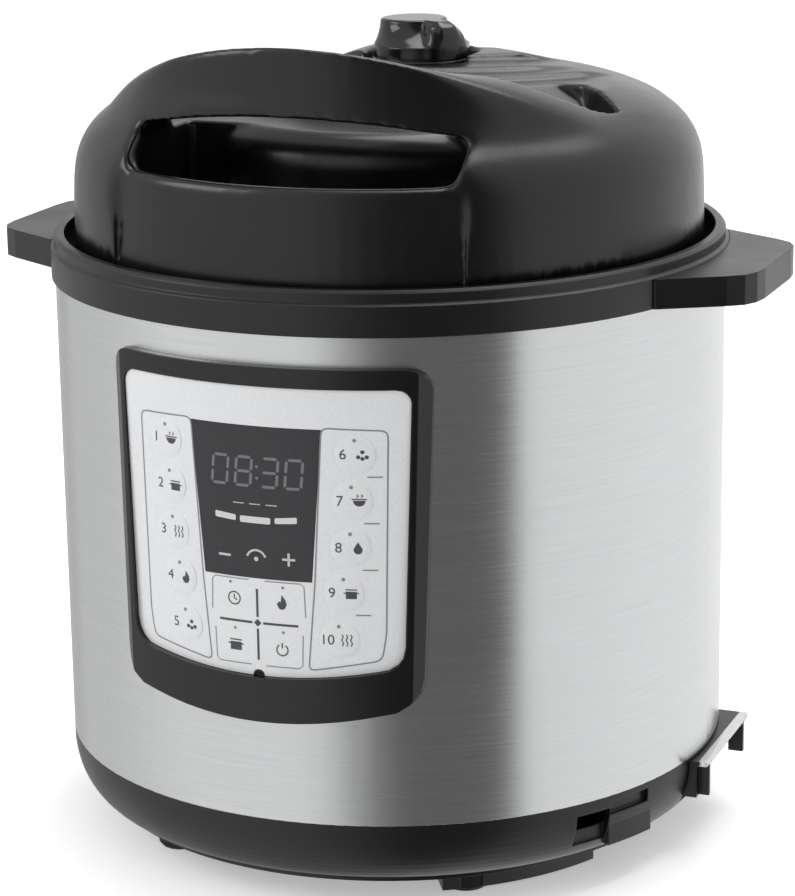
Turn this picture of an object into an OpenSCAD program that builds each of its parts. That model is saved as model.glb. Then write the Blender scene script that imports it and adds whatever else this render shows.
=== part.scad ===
// Electric pressure cooker, six-litre class.
// Z is up, the cooker stands on z = 0 and its control panel faces -Y.
// Every height is built up from the feet, and every radius out from the cooking pot,
// so a change of one size carries through to the pieces that seat on it.

/* [Cooking pot] */
// Inside radius of the removable cooking pot
pot_inner_r = 110; // [100:1:120]
// Wall of the cooking pot
pot_wall = 1.5; // [1:0.1:2]
// Height of the cooking pot from its base to its rim
pot_height = 166; // [140:1:190]
// Radius of the cooking pot's bottom corner
pot_corner_r = 18; // [10:1:28]
// How far the rim of the cooking pot turns outwards
pot_rim_reach = 4; // [2.5:0.5:4.5]

/* [Pressure chamber] */
// Radial gap between the cooking pot and the chamber
chamber_clear = 1.5; // [1:0.25:3]
// Wall of the pressure chamber
chamber_wall = 1.5; // [1:0.1:2]
// Radius of the chamber's bottom corner
chamber_corner_r = 14; // [8:1:20]
// Number of bayonet lugs round the chamber's mouth
lug_count = 6; // [4:1:8]
// Share of the bayonet's pitch that each lug fills
lug_fill = 0.43; // [0.3:0.01:0.46]
// How far each lug stands out from the chamber
lug_reach = 5; // [4:0.5:7]
// Thickness of each lug
lug_t = 2.5; // [1.5:0.25:4]
// Thickness of the flange that hangs the chamber in the collar
flange_t = 1.5; // [1:0.25:2]

/* [Heater] */
// Radius of the cast heating plate
heater_r = 88; // [70:1:96]
// Thickness of the heating plate
heater_t = 12.5; // [10:0.5:18]
// Height of the plate's stand-off feet
heater_stand = 2; // [1.5:0.5:5]
// Radius of the temperature sensor's cap
sensor_r = 14; // [11:0.5:16]
// Travel of the temperature sensor
sensor_travel = 2.5; // [1:0.25:3]

/* [Housing] */
// Air gap between the chamber and the steel housing
air_gap = 18.7; // [16:0.1:26]
// Thickness of the steel housing
housing_wall = 0.8; // [0.6:0.1:1.5]
// How far the collar stands proud of the housing
collar_overhang = 1.5; // [1:0.25:3]
// Height of the collar
collar_height = 17; // [14:0.5:20]
// Wall of the collar at its top edge
collar_wall = 5.5; // [4:0.5:6]

/* [Base] */
// Height of the rubber feet
foot_height = 10; // [8:0.5:14]
// Radius of each foot
foot_r = 9; // [6:0.5:12]
// Distance of each foot from the cooker's axis
foot_place_r = 103; // [80:1:103]
// Angle of the front feet from the front, and of the rear feet from the rear
foot_angle = 36.5; // [32:0.5:50]
// Height of the base shell
base_height = 28; // [24:1:40]
// How far the base shell draws in at its foot
base_draw = 15; // [10:1:18]
// Wall of the base shell
base_wall = 3; // [2:0.5:4]
// Thickness of the bottom plate
plate_t = 2.7; // [2:0.1:4]
// Rise of the chamber's floor above the base shell
chamber_lift = 18; // [14:1:30]

/* [Side handles] */
// How far a side handle stands out from the collar
handle_out = 24.5; // [18:0.5:30]
// Thickness of each side handle
handle_t = 11.5; // [9:0.5:14]
// Width of each side handle where it meets the collar
handle_root_w = 102; // [80:1:110]
// Width of each side handle at its outer edge
handle_tip_w = 64; // [50:1:76]

/* [Control panel] */
// Half the angle that the bezel covers
bezel_half_angle = 28.5; // [24:0.5:32]
// Width of the bezel's sloping flank at each side
bezel_flank = 6; // [4:0.5:7]
// Height of the bezel
bezel_height = 136; // [120:1:140]
// Distance from the bezel's top edge to the collar
bezel_drop = 11.5; // [8:0.5:18]
// How far the bezel stands out at its top
bezel_proud = 3.5; // [3:0.25:5]
// Extra depth of the bezel at its chin
bezel_chin = 2; // [0:0.25:4]
// Half the angle that the overlay covers
overlay_half_angle = 25; // [22:0.1:25.3]
// Height of the overlay
overlay_height = 111; // [104:1:113]
// Distance from the bezel's top edge to the overlay
overlay_drop = 7.5; // [6:0.5:10]
// Thickness of the overlay
overlay_t = 0.6; // [0.4:0.1:0.8]
// Width of the display window
window_w = 44; // [38:1:46]
// Height of the display window
window_h = 58; // [50:1:60]

/* [Lid] */
// Radial gap between the lugs and the lid's liner
liner_clear = 1.2; // [0.8:0.1:2]
// Wall of the lid's metal liner
liner_wall = 1.2; // [0.8:0.1:2]
// Wall of the lid's moulded cover
cover_wall = 3; // [2.5:0.25:4]
// Height of the lid's dome above its shoulder
dome_height = 50; // [46:1:56]
// How square the dome's shoulder is
dome_power = 3.4; // [2.8:0.1:4]
// Height of the arched handle above the dome
arch_rise = 21.4; // [14:0.2:26]
// Radius of the arched handle's top edge, seen from the front
arch_radius = 172; // [160:1:200]
// Radius of the arched handle's front face about the axis
arch_face_r = 105; // [102:0.5:108]
// Depth of the arched handle from front to back at its middle
arch_depth = 25; // [20:0.5:28]
// Half the width of the finger opening under the handle
grip_half_w = 66; // [56:1:70]
// Height of the finger opening's upper edge above the shoulder
grip_top = 45.6; // [42:0.2:48]
// Height of the front lip above the shoulder
grip_lip = 23; // [18:0.5:25]

/* [Valves] */
// Distance of the steam release knob behind the axis
knob_y = 38; // [34:1:42]
// Radius of the knob's skirt
knob_r = 20.5; // [18:0.5:21]
// Height of the knob
knob_h = 19; // [16:0.5:24]
// Radius of the steam pipe
pipe_r = 5; // [4:0.25:6]
// Place of the float valve across the lid
float_x = 20; // [19:0.5:24]
// Place of the float valve behind the axis
float_y = 60; // [58:0.5:64]
// Rise of the float valve
float_travel = 4; // [2:0.25:4.5]

/* [Condensation cup] */
// Width of the condensation cup
cup_w = 56; // [44:1:66]
// Depth of the condensation cup
cup_depth = 24; // [18:1:32]
// Height of the condensation cup
cup_height = 46; // [36:1:60]

/* [Hidden] */
$fn = 96;
// Overlap of a cutting shape past the face that it cuts
eps = 0.5;
// Gap between pieces that seat on each other
seat_gap = 0.3;
// Gap between fixed pieces on one frame
fit_gap = 0.1;
// Radial gap of a sliding fit
run_gap = 0.08;

// Radii, from the cooking pot outwards
pot_r = pot_inner_r + pot_wall;
chamber_inner_r = pot_r + chamber_clear;
chamber_r = chamber_inner_r + chamber_wall;
lug_r = chamber_r + lug_reach;
liner_inner_r = lug_r + liner_clear;
liner_r = liner_inner_r + liner_wall;
cover_inner_r = liner_r + 0.5;
cover_r = cover_inner_r + cover_wall;
body_r = chamber_r + air_gap + housing_wall;
collar_r = body_r + collar_overhang;
handle_reach = collar_r + handle_out;
collar_inner_r = collar_r - collar_wall;
housing_inner_r = body_r - housing_wall;
flange_r = lug_r + 3;
tab_inner_r = chamber_r + 1.2;

// Heights, from the feet upwards
base_z = foot_height;
housing_z = base_z + base_height;
chamber_z = housing_z + chamber_lift;
chamber_floor_z = chamber_z + chamber_wall;
heater_z = chamber_floor_z + heater_stand;
heater_top_z = heater_z + heater_t;
pot_z = heater_top_z + seat_gap;
rim_z = pot_z + pot_height;
chamber_top_z = rim_z - pot_wall - 0.5;
lug_z = chamber_top_z - lug_t;
tab_t = 2;
tab_top_z = lug_z - 1.5;
tab_z = tab_top_z - tab_t;
ledge_z = tab_z - 1.5;
collar_z = ledge_z - flange_t - 0.8;
collar_top_z = collar_z + collar_height;
ledge_drop = 3;
plate_z = base_z + 0.3;
plate_top_z = plate_z + plate_t;

// Lid heights
seal_z = rim_z + seat_gap;
seal_h = 9;
liner_z = seal_z + seal_h + seat_gap;
liner_top_z = liner_z + liner_wall;
cover_z = tab_z + 1.2;
shoulder_z = rim_z + 16.7;
dome_top_z = shoulder_z + dome_height;
arch_top_z = dome_top_z + arch_rise;
lip_z = shoulder_z + grip_lip;
grip_top_z = shoulder_z + grip_top;
pocket_floor_z = shoulder_z + 7;
recess_z = shoulder_z + 33;
bayonet_pitch = 360 / lug_count;
lug_angle = bayonet_pitch * lug_fill;

// Steps of the deck behind the handle, from the rear plateau towards the handle
step_y = 90;
step_r = [64, 83, 94];
step_z = [dome_top_z - 0.5, dome_top_z - 2.7, dome_top_z - 5];
ramp_top_r = 104;
ramp_foot_r = 118;
plateau_z = dome_top_z + 2;
well_r = knob_r + 2.5;
well_z = dome_top_z - 4.2;
// Back face of the handle, an arc that meets the ridge at the two tips of the recess
tip_x = arch_face_r - 3;
tip_y = -20;
bar_back_y = -(arch_face_r - arch_depth);
bar_arc_y = (pow(tip_x, 2) + pow(tip_y, 2) - pow(bar_back_y, 2)) / (2 * (tip_y - bar_back_y));
bar_arc_r = bar_arc_y - bar_back_y;
boss_r = 80;
boss_y = 15;
boss_round_w = 11;
boss_round_h = 13;
pocket_back_y = -45;
front_wall_t = 3;
front_wall_r = cover_r - 4.4;

// Control panel, measured on the housing
bezel_top_z = collar_z - bezel_drop;
bezel_z = bezel_top_z - bezel_height;
bezel_back_r = body_r + 0.2;
bezel_r = body_r + bezel_proud;
bezel_chin_r = bezel_r + bezel_chin;
bezel_half_w = body_r * sin(bezel_half_angle);
bezel_edge_t = 0.9;
field_r = body_r + 2.2;
film_gap = 0.25;
overlay_r = field_r + film_gap + overlay_t;
overlay_half_w = field_r * sin(overlay_half_angle);
overlay_top_z = bezel_top_z - overlay_drop;
overlay_z = overlay_top_z - overlay_height;
window_top_z = overlay_top_z - 15;
window_z = window_top_z - window_h;
key_column_x = overlay_half_w - 13;
key_pitch = 17;
key_rows = 5;
key_top_z = window_top_z - 8;
key_w = 16;
key_h = 9;
board_t = 1.6;
board_y = -(body_r - 14);
board_half_w = bezel_half_w - 14;
board_z = overlay_z + 6;
board_top_z = overlay_top_z - 6;
switch_h = 3.5;
stud_x = board_half_w - 4;

// Places of the fourteen keys: two side columns and a block of four below the window
function key_places() = concat(
  [for (side = [-1, 1], row = [0:key_rows - 1]) [side * key_column_x, key_top_z - row * key_pitch]],
  [for (side = [-1, 1], row = [0:1]) [side * 11, window_z - 11 - row * 17]]);

// Valves and knob
knob_z = well_z + seat_gap;
knob_top_z = knob_z + knob_h;
pipe_top_z = knob_z + knob_h * 0.6;
float_head_r = 4;
float_top_z = dome_top_z - 0.5;

// Points of a rectangle with rounded corners, centred on the origin
function round_points(w, h, r) = [for (q = [0:3], i = [0:4])
  let (a = q * 90 + i * 22.5, sx = (q == 0 || q == 3) ? 1 : -1, sy = q < 2 ? 1 : -1)
  [sx * (w / 2 - r) + r * cos(a), sy * (h / 2 - r) + r * sin(a)]];

// Ring about the axis between two radii and two heights
module ring(inner, outer, low, high) {
  translate([0, 0, low]) difference() {
    cylinder(r = outer, h = high - low);
    translate([0, 0, -eps]) cylinder(r = inner, h = high - low + 2 * eps);
  }
}

// Part of a ring, centred on an angle measured from the front towards +X
module ring_sector(inner, outer, low, high, middle, span) {
  rotate([0, 0, middle - 90 - span / 2]) rotate_extrude(angle = span)
    translate([inner, low]) square([outer - inner, high - low]);
}

// Repeats its children round the axis, starting from the front
module around(count, first = 0) {
  for (i = [0:count - 1]) rotate([0, 0, first + i * 360 / count]) children();
}

// Upright shape drawn as seen from the front, cut out of a ring between two radii
module front_panel(inner, outer) {
  intersection() {
    ring(inner, outer, base_z, collar_z);
    front_prism() children();
  }
}

// Prism along -Y from an outline drawn as seen from the front
module front_prism(near = 60, far = 200) {
  translate([0, -near, 0]) rotate([90, 0, 0]) linear_extrude(far - near) children();
}

// Screw standing on its head, tip upwards
module screw_up(shank_r, head_r, head_h, length) {
  cylinder(r = head_r, h = head_h);
  translate([0, 0, head_h]) cylinder(r = shank_r, h = length);
}

// Base

// Radius of the bottom plate's edge
plate_r = body_r - base_draw - 4.5;
plate_ledge_r = plate_r - 8;
screw_place_r = plate_r - 4;
foot_angles = [foot_angle - 180, -foot_angle, foot_angle, 180 - foot_angle];
// Guard under the bottom plate, round the front right foot
guard_middle = foot_angle + 11.5;
guard_span = 35;
guard_drop = 8.8;
board_x = -30;
// Angle of the lifting notch from the front
notch_angle = 56;
// Lip round the foot of the base shell
base_lip = 1.2;
base_board_w = 104;
base_board_d = 66;
board_stand_h = 8;
power_board_z = plate_top_z + board_stand_h;
inlet_y = 12;
inlet_w = 62;
inlet_out_x = body_r + 5.5;
inlet_in_x = body_r - 27;
inlet_face_x = body_r - 5.5;
inlet_z = housing_z - 19;
inlet_top_z = housing_z - 1.4;
inlet_mid_z = (inlet_z + inlet_top_z) / 2;
inlet_roof_t = 2.1;
inlet_leg_w = 6;
socket_w = 26;
socket_h = 13;
socket_depth = 11;

module base_shell() {
  curve_top = housing_z - 3;
  color("#1b1b1c") difference() {
    union() {
      rotate_extrude() polygon(concat(
        [[body_r, housing_z]],
        [for (t = [0:7.5:90]) [body_r - base_draw * (1 - cos(t)), curve_top - (curve_top - base_z - 2) * sin(t)]],
        [[body_r - base_draw + base_lip, base_z + 1.8], [body_r - base_draw + base_lip, base_z],
         [plate_r + 0.2, base_z], [plate_r + 0.2, plate_top_z],
         [plate_ledge_r, plate_top_z], [plate_ledge_r, plate_top_z + 3]],
        [for (t = [90:-15:0]) [body_r - base_wall - base_draw * (1 - cos(t)),
          curve_top - (curve_top - plate_top_z - 3) * sin(t)]],
        [[housing_inner_r - 2.4, housing_z], [housing_inner_r - 2.4, housing_z + 5],
         [housing_inner_r - 0.2, housing_z + 5], [housing_inner_r - 0.2, housing_z]]));
      // Upright block beside the lifting notch
      ring_sector(body_r - 14, body_r - 1.4, base_z + 7, housing_z - 9.5, notch_angle + 8.8, 10.4);
    }
    // Opening for the power inlet
    translate([inlet_in_x - 10, inlet_y - inlet_w / 2 - 0.2, inlet_z - 0.2])
      cube([60, inlet_w + 0.4, inlet_top_z - inlet_z + 0.4]);
    // Lifting notch, and the slot over the block
    rotate([0, 0, notch_angle]) translate([-8, -body_r - 3, base_z + 10]) cube([16, 8, 13]);
    ring_sector(body_r - 2.2, body_r + 2, housing_z - 8, housing_z - 2.5, notch_angle + 8, 9);
    around(4) translate([0, -screw_place_r, plate_top_z - eps]) cylinder(r = 1.7, h = 3 + 2 * eps);
  }
}

module bottom_plate() {
  color("#2a2a2c") {
    difference() {
      translate([0, 0, plate_z]) cylinder(r = plate_r, h = plate_t);
      // Cooling slots
      for (r = [42, 56, 70]) for (a = [0:60:300])
        ring_sector(r, r + 5, plate_z - eps, plate_top_z + eps, a, 38);
      for (a = foot_angles) rotate([0, 0, a]) translate([0, -foot_place_r, plate_z - eps])
        cylinder(r = 3, h = plate_t + 2 * eps);
      around(4) translate([0, -screw_place_r, plate_z - eps]) cylinder(r = 1.8, h = plate_t + 2 * eps);
    }
    // Guard under the plate, open round the front right foot
    difference() {
      ring_sector(foot_place_r - 6, plate_r - 3, plate_z - guard_drop, plate_z + 0.2, guard_middle, guard_span);
      rotate([0, 0, foot_angle]) translate([0, -foot_place_r, 0]) cylinder(r = foot_r + 0.4, h = plate_z + 0.1);
      rotate([0, 0, foot_angle]) translate([0, -foot_place_r, 0]) cylinder(r = 3, h = plate_z + 1);
    }
    // Posts for the power board
    for (x = [-1, 1]) for (y = [-1, 1])
      translate([board_x + x * (base_board_w / 2 - 5), y * (base_board_d / 2 - 5), plate_top_z - 0.2])
        cylinder(r = 3.5, h = board_stand_h + 0.2);
  }
}

module feet() {
  color("#111111") for (a = foot_angles) rotate([0, 0, a]) translate([0, -foot_place_r, 0]) {
    cylinder(r1 = foot_r - 1.2, r2 = foot_r, h = 1.5);
    translate([0, 0, 1.5]) cylinder(r = foot_r, h = plate_z - 1.5);
    translate([0, 0, plate_z - 0.2]) cylinder(r = 2.9, h = plate_t + 0.2);
  }
}

module bottom_screws() {
  color("#9a9a9c") around(4) translate([0, -screw_place_r, plate_z - 1.6])
    screw_up(1.6, 3.4, 1.6, plate_t + 3);
}

// Block from one corner in x and y to another, between two heights
module block(from, to, low, high) {
  translate([from[0], from[1], low]) cube([to[0] - from[0], to[1] - from[1], high - low]);
}

module inlet_housing() {
  near = inlet_y - inlet_w / 2;
  far = inlet_y + inlet_w / 2;
  leg_z = inlet_z + 2.5;
  color("#1b1b1c") difference() {
    union() {
      intersection() {
        block([inlet_in_x, near], [inlet_face_x, far], inlet_z, inlet_top_z);
        cylinder(r = body_r - 2, h = collar_z);
      }
      // Roof over the connector, carried by a deep front leg and ended by a short rear one
      translate([0, 0, inlet_top_z - inlet_roof_t]) linear_extrude(inlet_roof_t) polygon([
        [inlet_face_x - 8, near], [inlet_out_x - 4, near], [inlet_out_x, near + 4],
        [inlet_out_x, far - 4], [inlet_out_x - 4, far], [inlet_face_x - 8, far]]);
      block([inlet_face_x - 4, near], [inlet_out_x - 4, near + inlet_leg_w], leg_z, inlet_top_z - 0.2);
      block([inlet_out_x - 4.5, near + 4], [inlet_out_x, near + inlet_leg_w], leg_z, inlet_top_z - 0.2);
      block([body_r - 1, far - inlet_leg_w], [inlet_out_x - 0.4, far - 4], leg_z, inlet_top_z - 0.2);
    }
    translate([inlet_face_x + eps, inlet_y, inlet_mid_z]) rotate([0, -90, 0])
      linear_extrude(socket_depth + eps) polygon(round_points(socket_h, socket_w, 3));
    // Hollow behind the socket
    block([inlet_in_x - eps, near + 3], [inlet_face_x - socket_depth - 3, far - 3], inlet_z + 3, inlet_top_z - 3);
  }
}

module inlet_pins() {
  pin_x = inlet_face_x - socket_depth;
  color("#c9c9cb") for (p = [[-7, -1.5], [7, -1.5], [0, 2]])
    translate([pin_x, inlet_y + p[0] - 1, inlet_mid_z + p[1] - 2]) cube([socket_depth - 2.5, 2, 4]);
}

module power_board() {
  color("#2f6b3a") difference() {
    translate([board_x - base_board_w / 2, -base_board_d / 2, power_board_z])
      cube([base_board_w, base_board_d, board_t]);
    for (x = [-1, 1]) for (y = [-1, 1])
      translate([board_x + x * (base_board_w / 2 - 5), y * (base_board_d / 2 - 5), power_board_z - eps])
        cylinder(r = 1.6, h = board_t + 2 * eps);
  }
}

module power_components() {
  top = power_board_z + board_t;
  color("#3b3b40") {
    translate([board_x - 40, -14, top]) cube([20, 16, 13]);
    translate([board_x - 8, -20, top]) cube([24, 20, 12]);
    translate([board_x + 34, 10, top]) cylinder(r = 6, h = 13);
    translate([board_x + 34, -10, top]) cylinder(r = 5, h = 11);
    translate([board_x - 30, 14, top]) cylinder(r = 5.5, h = 12);
    translate([board_x - 6, 12, top]) cube([18, 8, 9]);
  }
}

// Housing, collar and side handles

module steel_housing() {
  color("#b9bbbd") difference() {
    ring(housing_inner_r, body_r, housing_z, collar_z);
    // Holes behind the control panel for the keys, the board's studs and the display
    for (p = key_places()) translate([p[0], 0, p[1]]) rotate([90, 0, 0]) cylinder(r = 4.2, h = 200);
    for (side = [-1, 1]) for (z = [board_z + 4, board_top_z - 4])
      translate([side * stud_x, 0, z]) rotate([90, 0, 0]) cylinder(r = 4.2, h = 200);
    front_prism() display_hole(0.7);
  }
}

module top_collar() {
  color("#1b1b1c") difference() {
    rotate_extrude() polygon([
      [collar_r, collar_z], [collar_r, collar_top_z - 5.5], [collar_r - 1.4, collar_top_z - 4.6],
      [collar_r - 1.4, collar_top_z - 1.2], [collar_r - 2.6, collar_top_z],
      [collar_inner_r, collar_top_z], [collar_inner_r, ledge_z], [flange_r + 0.5, ledge_z],
      [flange_r + 0.5, collar_z], [chamber_r + 1, collar_z], [chamber_r + 1, collar_z - ledge_drop],
      [housing_inner_r - 0.3, collar_z - ledge_drop], [housing_inner_r - 0.3, collar_z]]);
    for (side = [0, 180]) rotate([0, 0, side]) translate([collar_inner_r + 1.3, -30.2, collar_z + 3.8])
      cube([20, 60.4, 4.4]);
  }
}

// Handle on the +X side
module side_handle() {
  tip = handle_tip_w / 2;
  root = handle_root_w / 2;
  edge = [[handle_reach - 10, tip + 5.5], [handle_reach - 4, tip + 1],
    [handle_reach - 1, tip - 5], [handle_reach, tip - 13]];
  color("#1b1b1c") {
    difference() {
      translate([0, 0, collar_z]) linear_extrude(handle_t) polygon(concat(
        [[collar_r - 40, root], [collar_r - 9, root]], edge,
        [for (i = [3:-1:0]) [edge[i][0], -edge[i][1]]],
        [[collar_r - 9, -root], [collar_r - 40, -root]]));
      translate([0, 0, collar_z - 10]) cylinder(r = collar_r + fit_gap, h = handle_t + 20);
      // Pockets in the underside, with ribs between them
      for (i = [-1:1]) translate([collar_r + 5, i * tip * 0.6 - tip * 0.25, collar_z - eps])
        cube([handle_reach - collar_r - 10, tip * 0.5, handle_t - 3 + eps]);
    }
    // Tongue that goes into the collar
    translate([collar_inner_r + 1.5, -30, collar_z + 4]) cube([collar_r - collar_inner_r, 60, 4]);
  }
}

module side_handle_right() {
  side_handle();
}

module side_handle_left() {
  rotate([0, 0, 180]) side_handle();
}

// Pressure chamber, heater and sensors

// Cup profile with a rounded bottom corner, as points from the axis out and up
function cup_curve(r, low, corner, high) = concat([[0, low]],
  [for (t = [-90:15:0]) [r - corner + corner * cos(t), low + corner + corner * sin(t)]], [[r, high]]);

function reversed(points) = [for (i = [len(points) - 1:-1:0]) points[i]];

// Places of the heater's terminals
terminal_x = heater_r * 0.455;
terminal_y = heater_r * 0.34;

module pressure_chamber() {
  color("#a8aaac") difference() {
    union() {
      rotate_extrude() polygon(concat(
        cup_curve(chamber_r, chamber_z, chamber_corner_r, chamber_top_z),
        reversed(cup_curve(chamber_inner_r, chamber_floor_z, chamber_corner_r - chamber_wall, chamber_top_z))));
      ring(chamber_r - 0.4, flange_r, collar_z, collar_z + flange_t);
      for (i = [0:lug_count - 1])
        ring_sector(chamber_r - 0.4, lug_r, lug_z, chamber_top_z, i * bayonet_pitch, lug_angle);
    }
    translate([0, 0, chamber_z - eps]) cylinder(r = 3.5, h = chamber_wall + 2 * eps);
    for (side = [-1, 1]) translate([side * terminal_x, terminal_y, chamber_z - eps])
      cylinder(r = 6, h = chamber_wall + 2 * eps);
  }
}

module heating_plate() {
  color("#8f9193") {
    difference() {
      translate([0, 0, heater_z]) union() {
        cylinder(r1 = heater_r - 3, r2 = heater_r, h = 3);
        translate([0, 0, 3]) cylinder(r = heater_r, h = heater_t - 4);
        translate([0, 0, heater_t - 1]) cylinder(r1 = heater_r, r2 = heater_r - 1, h = 1);
      }
      translate([0, 0, heater_z - eps]) cylinder(r = sensor_r + 3, h = heater_t + 2 * eps);
    }
    around(3) translate([0, 15 - heater_r, chamber_floor_z]) cylinder(r = 5, h = heater_stand + 0.2);
  }
}

module heater_terminals() {
  color("#d8d4c8") for (side = [-1, 1]) translate([side * terminal_x, terminal_y, chamber_z - 12]) {
    cylinder(r = 2.6, h = heater_z - chamber_z + 12);
    translate([0, 0, 6]) cylinder(r = 4.6, h = 5);
  }
}

sensor_cap_t = 1.8;
holder_t = 1;
guide_r = 5.5;
sensor_skirt_z = chamber_floor_z + holder_t + sensor_travel + 1.2;
guide_top_z = heater_top_z - sensor_cap_t - sensor_travel - 0.7;
spring_wire_r = 0.6;

module sensor_holder() {
  color("#b0b2b4") difference() {
    translate([0, 0, chamber_floor_z]) union() {
      cylinder(r = sensor_r + 4.5, h = holder_t);
      cylinder(r = guide_r, h = guide_top_z - chamber_floor_z);
    }
    translate([0, 0, chamber_floor_z - eps]) cylinder(r = 3.5, h = heater_top_z - chamber_floor_z);
  }
}

module sensor_cap() {
  cap_z = heater_top_z - sensor_cap_t;
  color("#d5d7d8") {
    translate([0, 0, cap_z]) cylinder(r = sensor_r, h = sensor_cap_t);
    ring(sensor_r - 1.2, sensor_r, sensor_skirt_z, cap_z + 0.2);
    ring(guide_r + run_gap, guide_r + 1.5, sensor_skirt_z, cap_z + 0.2);
  }
}

// Helical wire as one swept tube, closed by its end faces
module coil(mean_r, wire_r, turns, low, high) {
  sides = 6;
  per_turn = 14;
  count = turns * per_turn;
  points = [for (i = [0:count], s = [0:sides - 1])
    let (a = 360 * i / per_turn, b = 360 * s / sides, r = mean_r + wire_r * cos(b))
    [r * cos(a), r * sin(a), low + wire_r + (high - low - 2 * wire_r) * i / count + wire_r * sin(b)]];
  faces = concat([[for (s = [0:sides - 1]) s]],
    [for (i = [0:count - 1], s = [0:sides - 1])
      [i * sides + s, (i + 1) * sides + s, (i + 1) * sides + (s + 1) % sides, i * sides + (s + 1) % sides]],
    [[for (s = [sides - 1:-1:0]) count * sides + s]]);
  polyhedron(points = points, faces = faces, convexity = 10);
}

module sensor_spring() {
  color("#9fa1a3") coil((guide_r + 0.3 + sensor_r) / 2, spring_wire_r, 4,
    chamber_floor_z + holder_t + 0.1, heater_top_z - sensor_cap_t - 0.1);
}

// Sprung plate that the chamber's floor bends onto the pressure switch
plate_l = pot_r * 0.9;
plate_w = pot_r * 0.2;

module pressure_plate() {
  color("#b0b2b4") difference() {
    union() {
      translate([-plate_w / 2, -plate_l / 2, chamber_z - 6]) cube([plate_w, plate_l, 1.2]);
      for (side = [-1, 1]) translate([0, side * (plate_l / 2 - 8), chamber_z - 5]) cylinder(r = 6, h = 5);
    }
    translate([0, 0, chamber_z - 7]) cylinder(r = 5, h = 4);
  }
}

module pressure_switch() {
  color("#e6e3da") {
    translate([-10, 12, chamber_z - 15]) cube([20, 9, 8.2]);
    translate([0, 16, chamber_z - 7]) cylinder(r = 1.5, h = 1);
  }
}

module thermal_fuse() {
  color("#c9b48a") {
    translate([-60, -34, chamber_z - 1]) cube([26, 8, 1]);
    translate([-57, -30, chamber_z - 3.4]) rotate([0, 90, 0]) cylinder(r = 2.6, h = 20);
  }
}

module cooking_pot() {
  color("#c4c6c8") rotate_extrude() polygon(concat(
    cup_curve(pot_r, pot_z, pot_corner_r, rim_z - pot_wall),
    [[pot_r + pot_rim_reach, rim_z - pot_wall], [pot_r + pot_rim_reach, rim_z], [pot_inner_r + 0.6, rim_z]],
    reversed(cup_curve(pot_inner_r, pot_z + pot_wall, pot_corner_r - pot_wall, rim_z - 0.6))));
}

// Control panel

// Outline of a panel seen from the front: rounded top corners, and a foot that dips in the middle
function panel_outline(top_w, foot_w, low, high, top_corner, foot_corner, dip) =
  let (flat = foot_w - foot_corner, base = low + dip)
  concat(
    [for (a = [90:-22.5:0]) [top_w - top_corner + top_corner * cos(a), high - top_corner + top_corner * sin(a)]],
    [for (a = [0:-22.5:-67.5]) [flat + foot_corner * cos(a), base + foot_corner + foot_corner * sin(a)]],
    [for (i = [6:-1:-6]) [flat * i / 6, low + dip * pow(i / 6, 2)]],
    [for (a = [-67.5:22.5:0]) [-flat - foot_corner * cos(a), base + foot_corner + foot_corner * sin(a)]],
    [for (a = [0:22.5:90]) [top_corner - top_w - top_corner * cos(a), high - top_corner + top_corner * sin(a)]]);

module bezel_outline() {
  polygon(panel_outline(bezel_half_w, bezel_half_w * 0.95, bezel_z, bezel_top_z, 8, 14, 5));
}

module overlay_outline(gap = 0) {
  polygon(panel_outline(overlay_half_w + gap, overlay_half_w * 0.955 + gap, overlay_z - gap,
    overlay_top_z + gap, 5, 10, 4));
}

module window_outline(gap = 0) {
  top = window_w / 2 + 4 + gap;
  foot = window_w / 2 - 0.5 + gap;
  polygon([[-foot, window_z - gap], [foot, window_z - gap], [top, window_top_z + gap], [-top, window_top_z + gap]]);
}

// Hole behind the window that the display shows through
module display_hole(gap = 0) {
  translate([-window_w / 2 + 7 - gap, window_z + 12 - gap])
    square([window_w - 14 + 2 * gap, window_h - 22 + 2 * gap]);
}

// What the sloping flank takes off one side of the bezel: all outside an upright plane
// that starts at the front face and ends near the housing
module flank_cut(side) {
  start = bezel_half_angle - bezel_flank / body_r * 180 / PI;
  from = bezel_r * [sin(start), -cos(start)];
  to = (body_r + bezel_edge_t) * [sin(bezel_half_angle), -cos(bezel_half_angle)];
  slope = atan2(to[1] - from[1], to[0] - from[0]);
  mirror([side < 0 ? 1 : 0, 0, 0]) translate([from[0], from[1], bezel_z - 1]) rotate([0, 0, slope])
    translate([-20, -40, 0]) cube([60, 40, bezel_height + 2]);
}

module control_bezel() {
  color("#161617") {
    difference() {
      intersection() {
        difference() {
          translate([0, 0, bezel_z]) cylinder(r1 = bezel_chin_r, r2 = bezel_r, h = bezel_height);
          translate([0, 0, bezel_z - eps]) cylinder(r = bezel_back_r, h = bezel_height + 2 * eps);
        }
        front_prism() bezel_outline();
      }
      for (side = [-1, 1]) flank_cut(side);
      // Field that the overlay lies in
      intersection() {
        ring(field_r, body_r + 12, base_z, collar_z);
        front_prism() overlay_outline(0.15);
      }
      front_prism() display_hole();
      for (p = key_places()) translate([p[0], 0, p[1]]) rotate([90, 0, 0]) cylinder(r = 3.2, h = 200);
    }
    // Studs that carry the control board
    for (side = [-1, 1]) for (z = [board_z + 4, board_top_z - 4])
      translate([side * stud_x, board_y, z]) rotate([90, 0, 0])
        cylinder(r = 3.2, h = sqrt(pow(bezel_back_r + 1.4, 2) - pow(stud_x, 2)) + board_y);
  }
}

module control_overlay() {
  color("#d9dadb") difference() {
    front_panel(field_r + film_gap, overlay_r) difference() {
      overlay_outline();
      window_outline(0.15);
      translate([0, overlay_z]) circle(r = 2.4);
    }
  }
}

module display_window() {
  color("#232427") front_panel(field_r + film_gap, overlay_r) window_outline();
}

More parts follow.
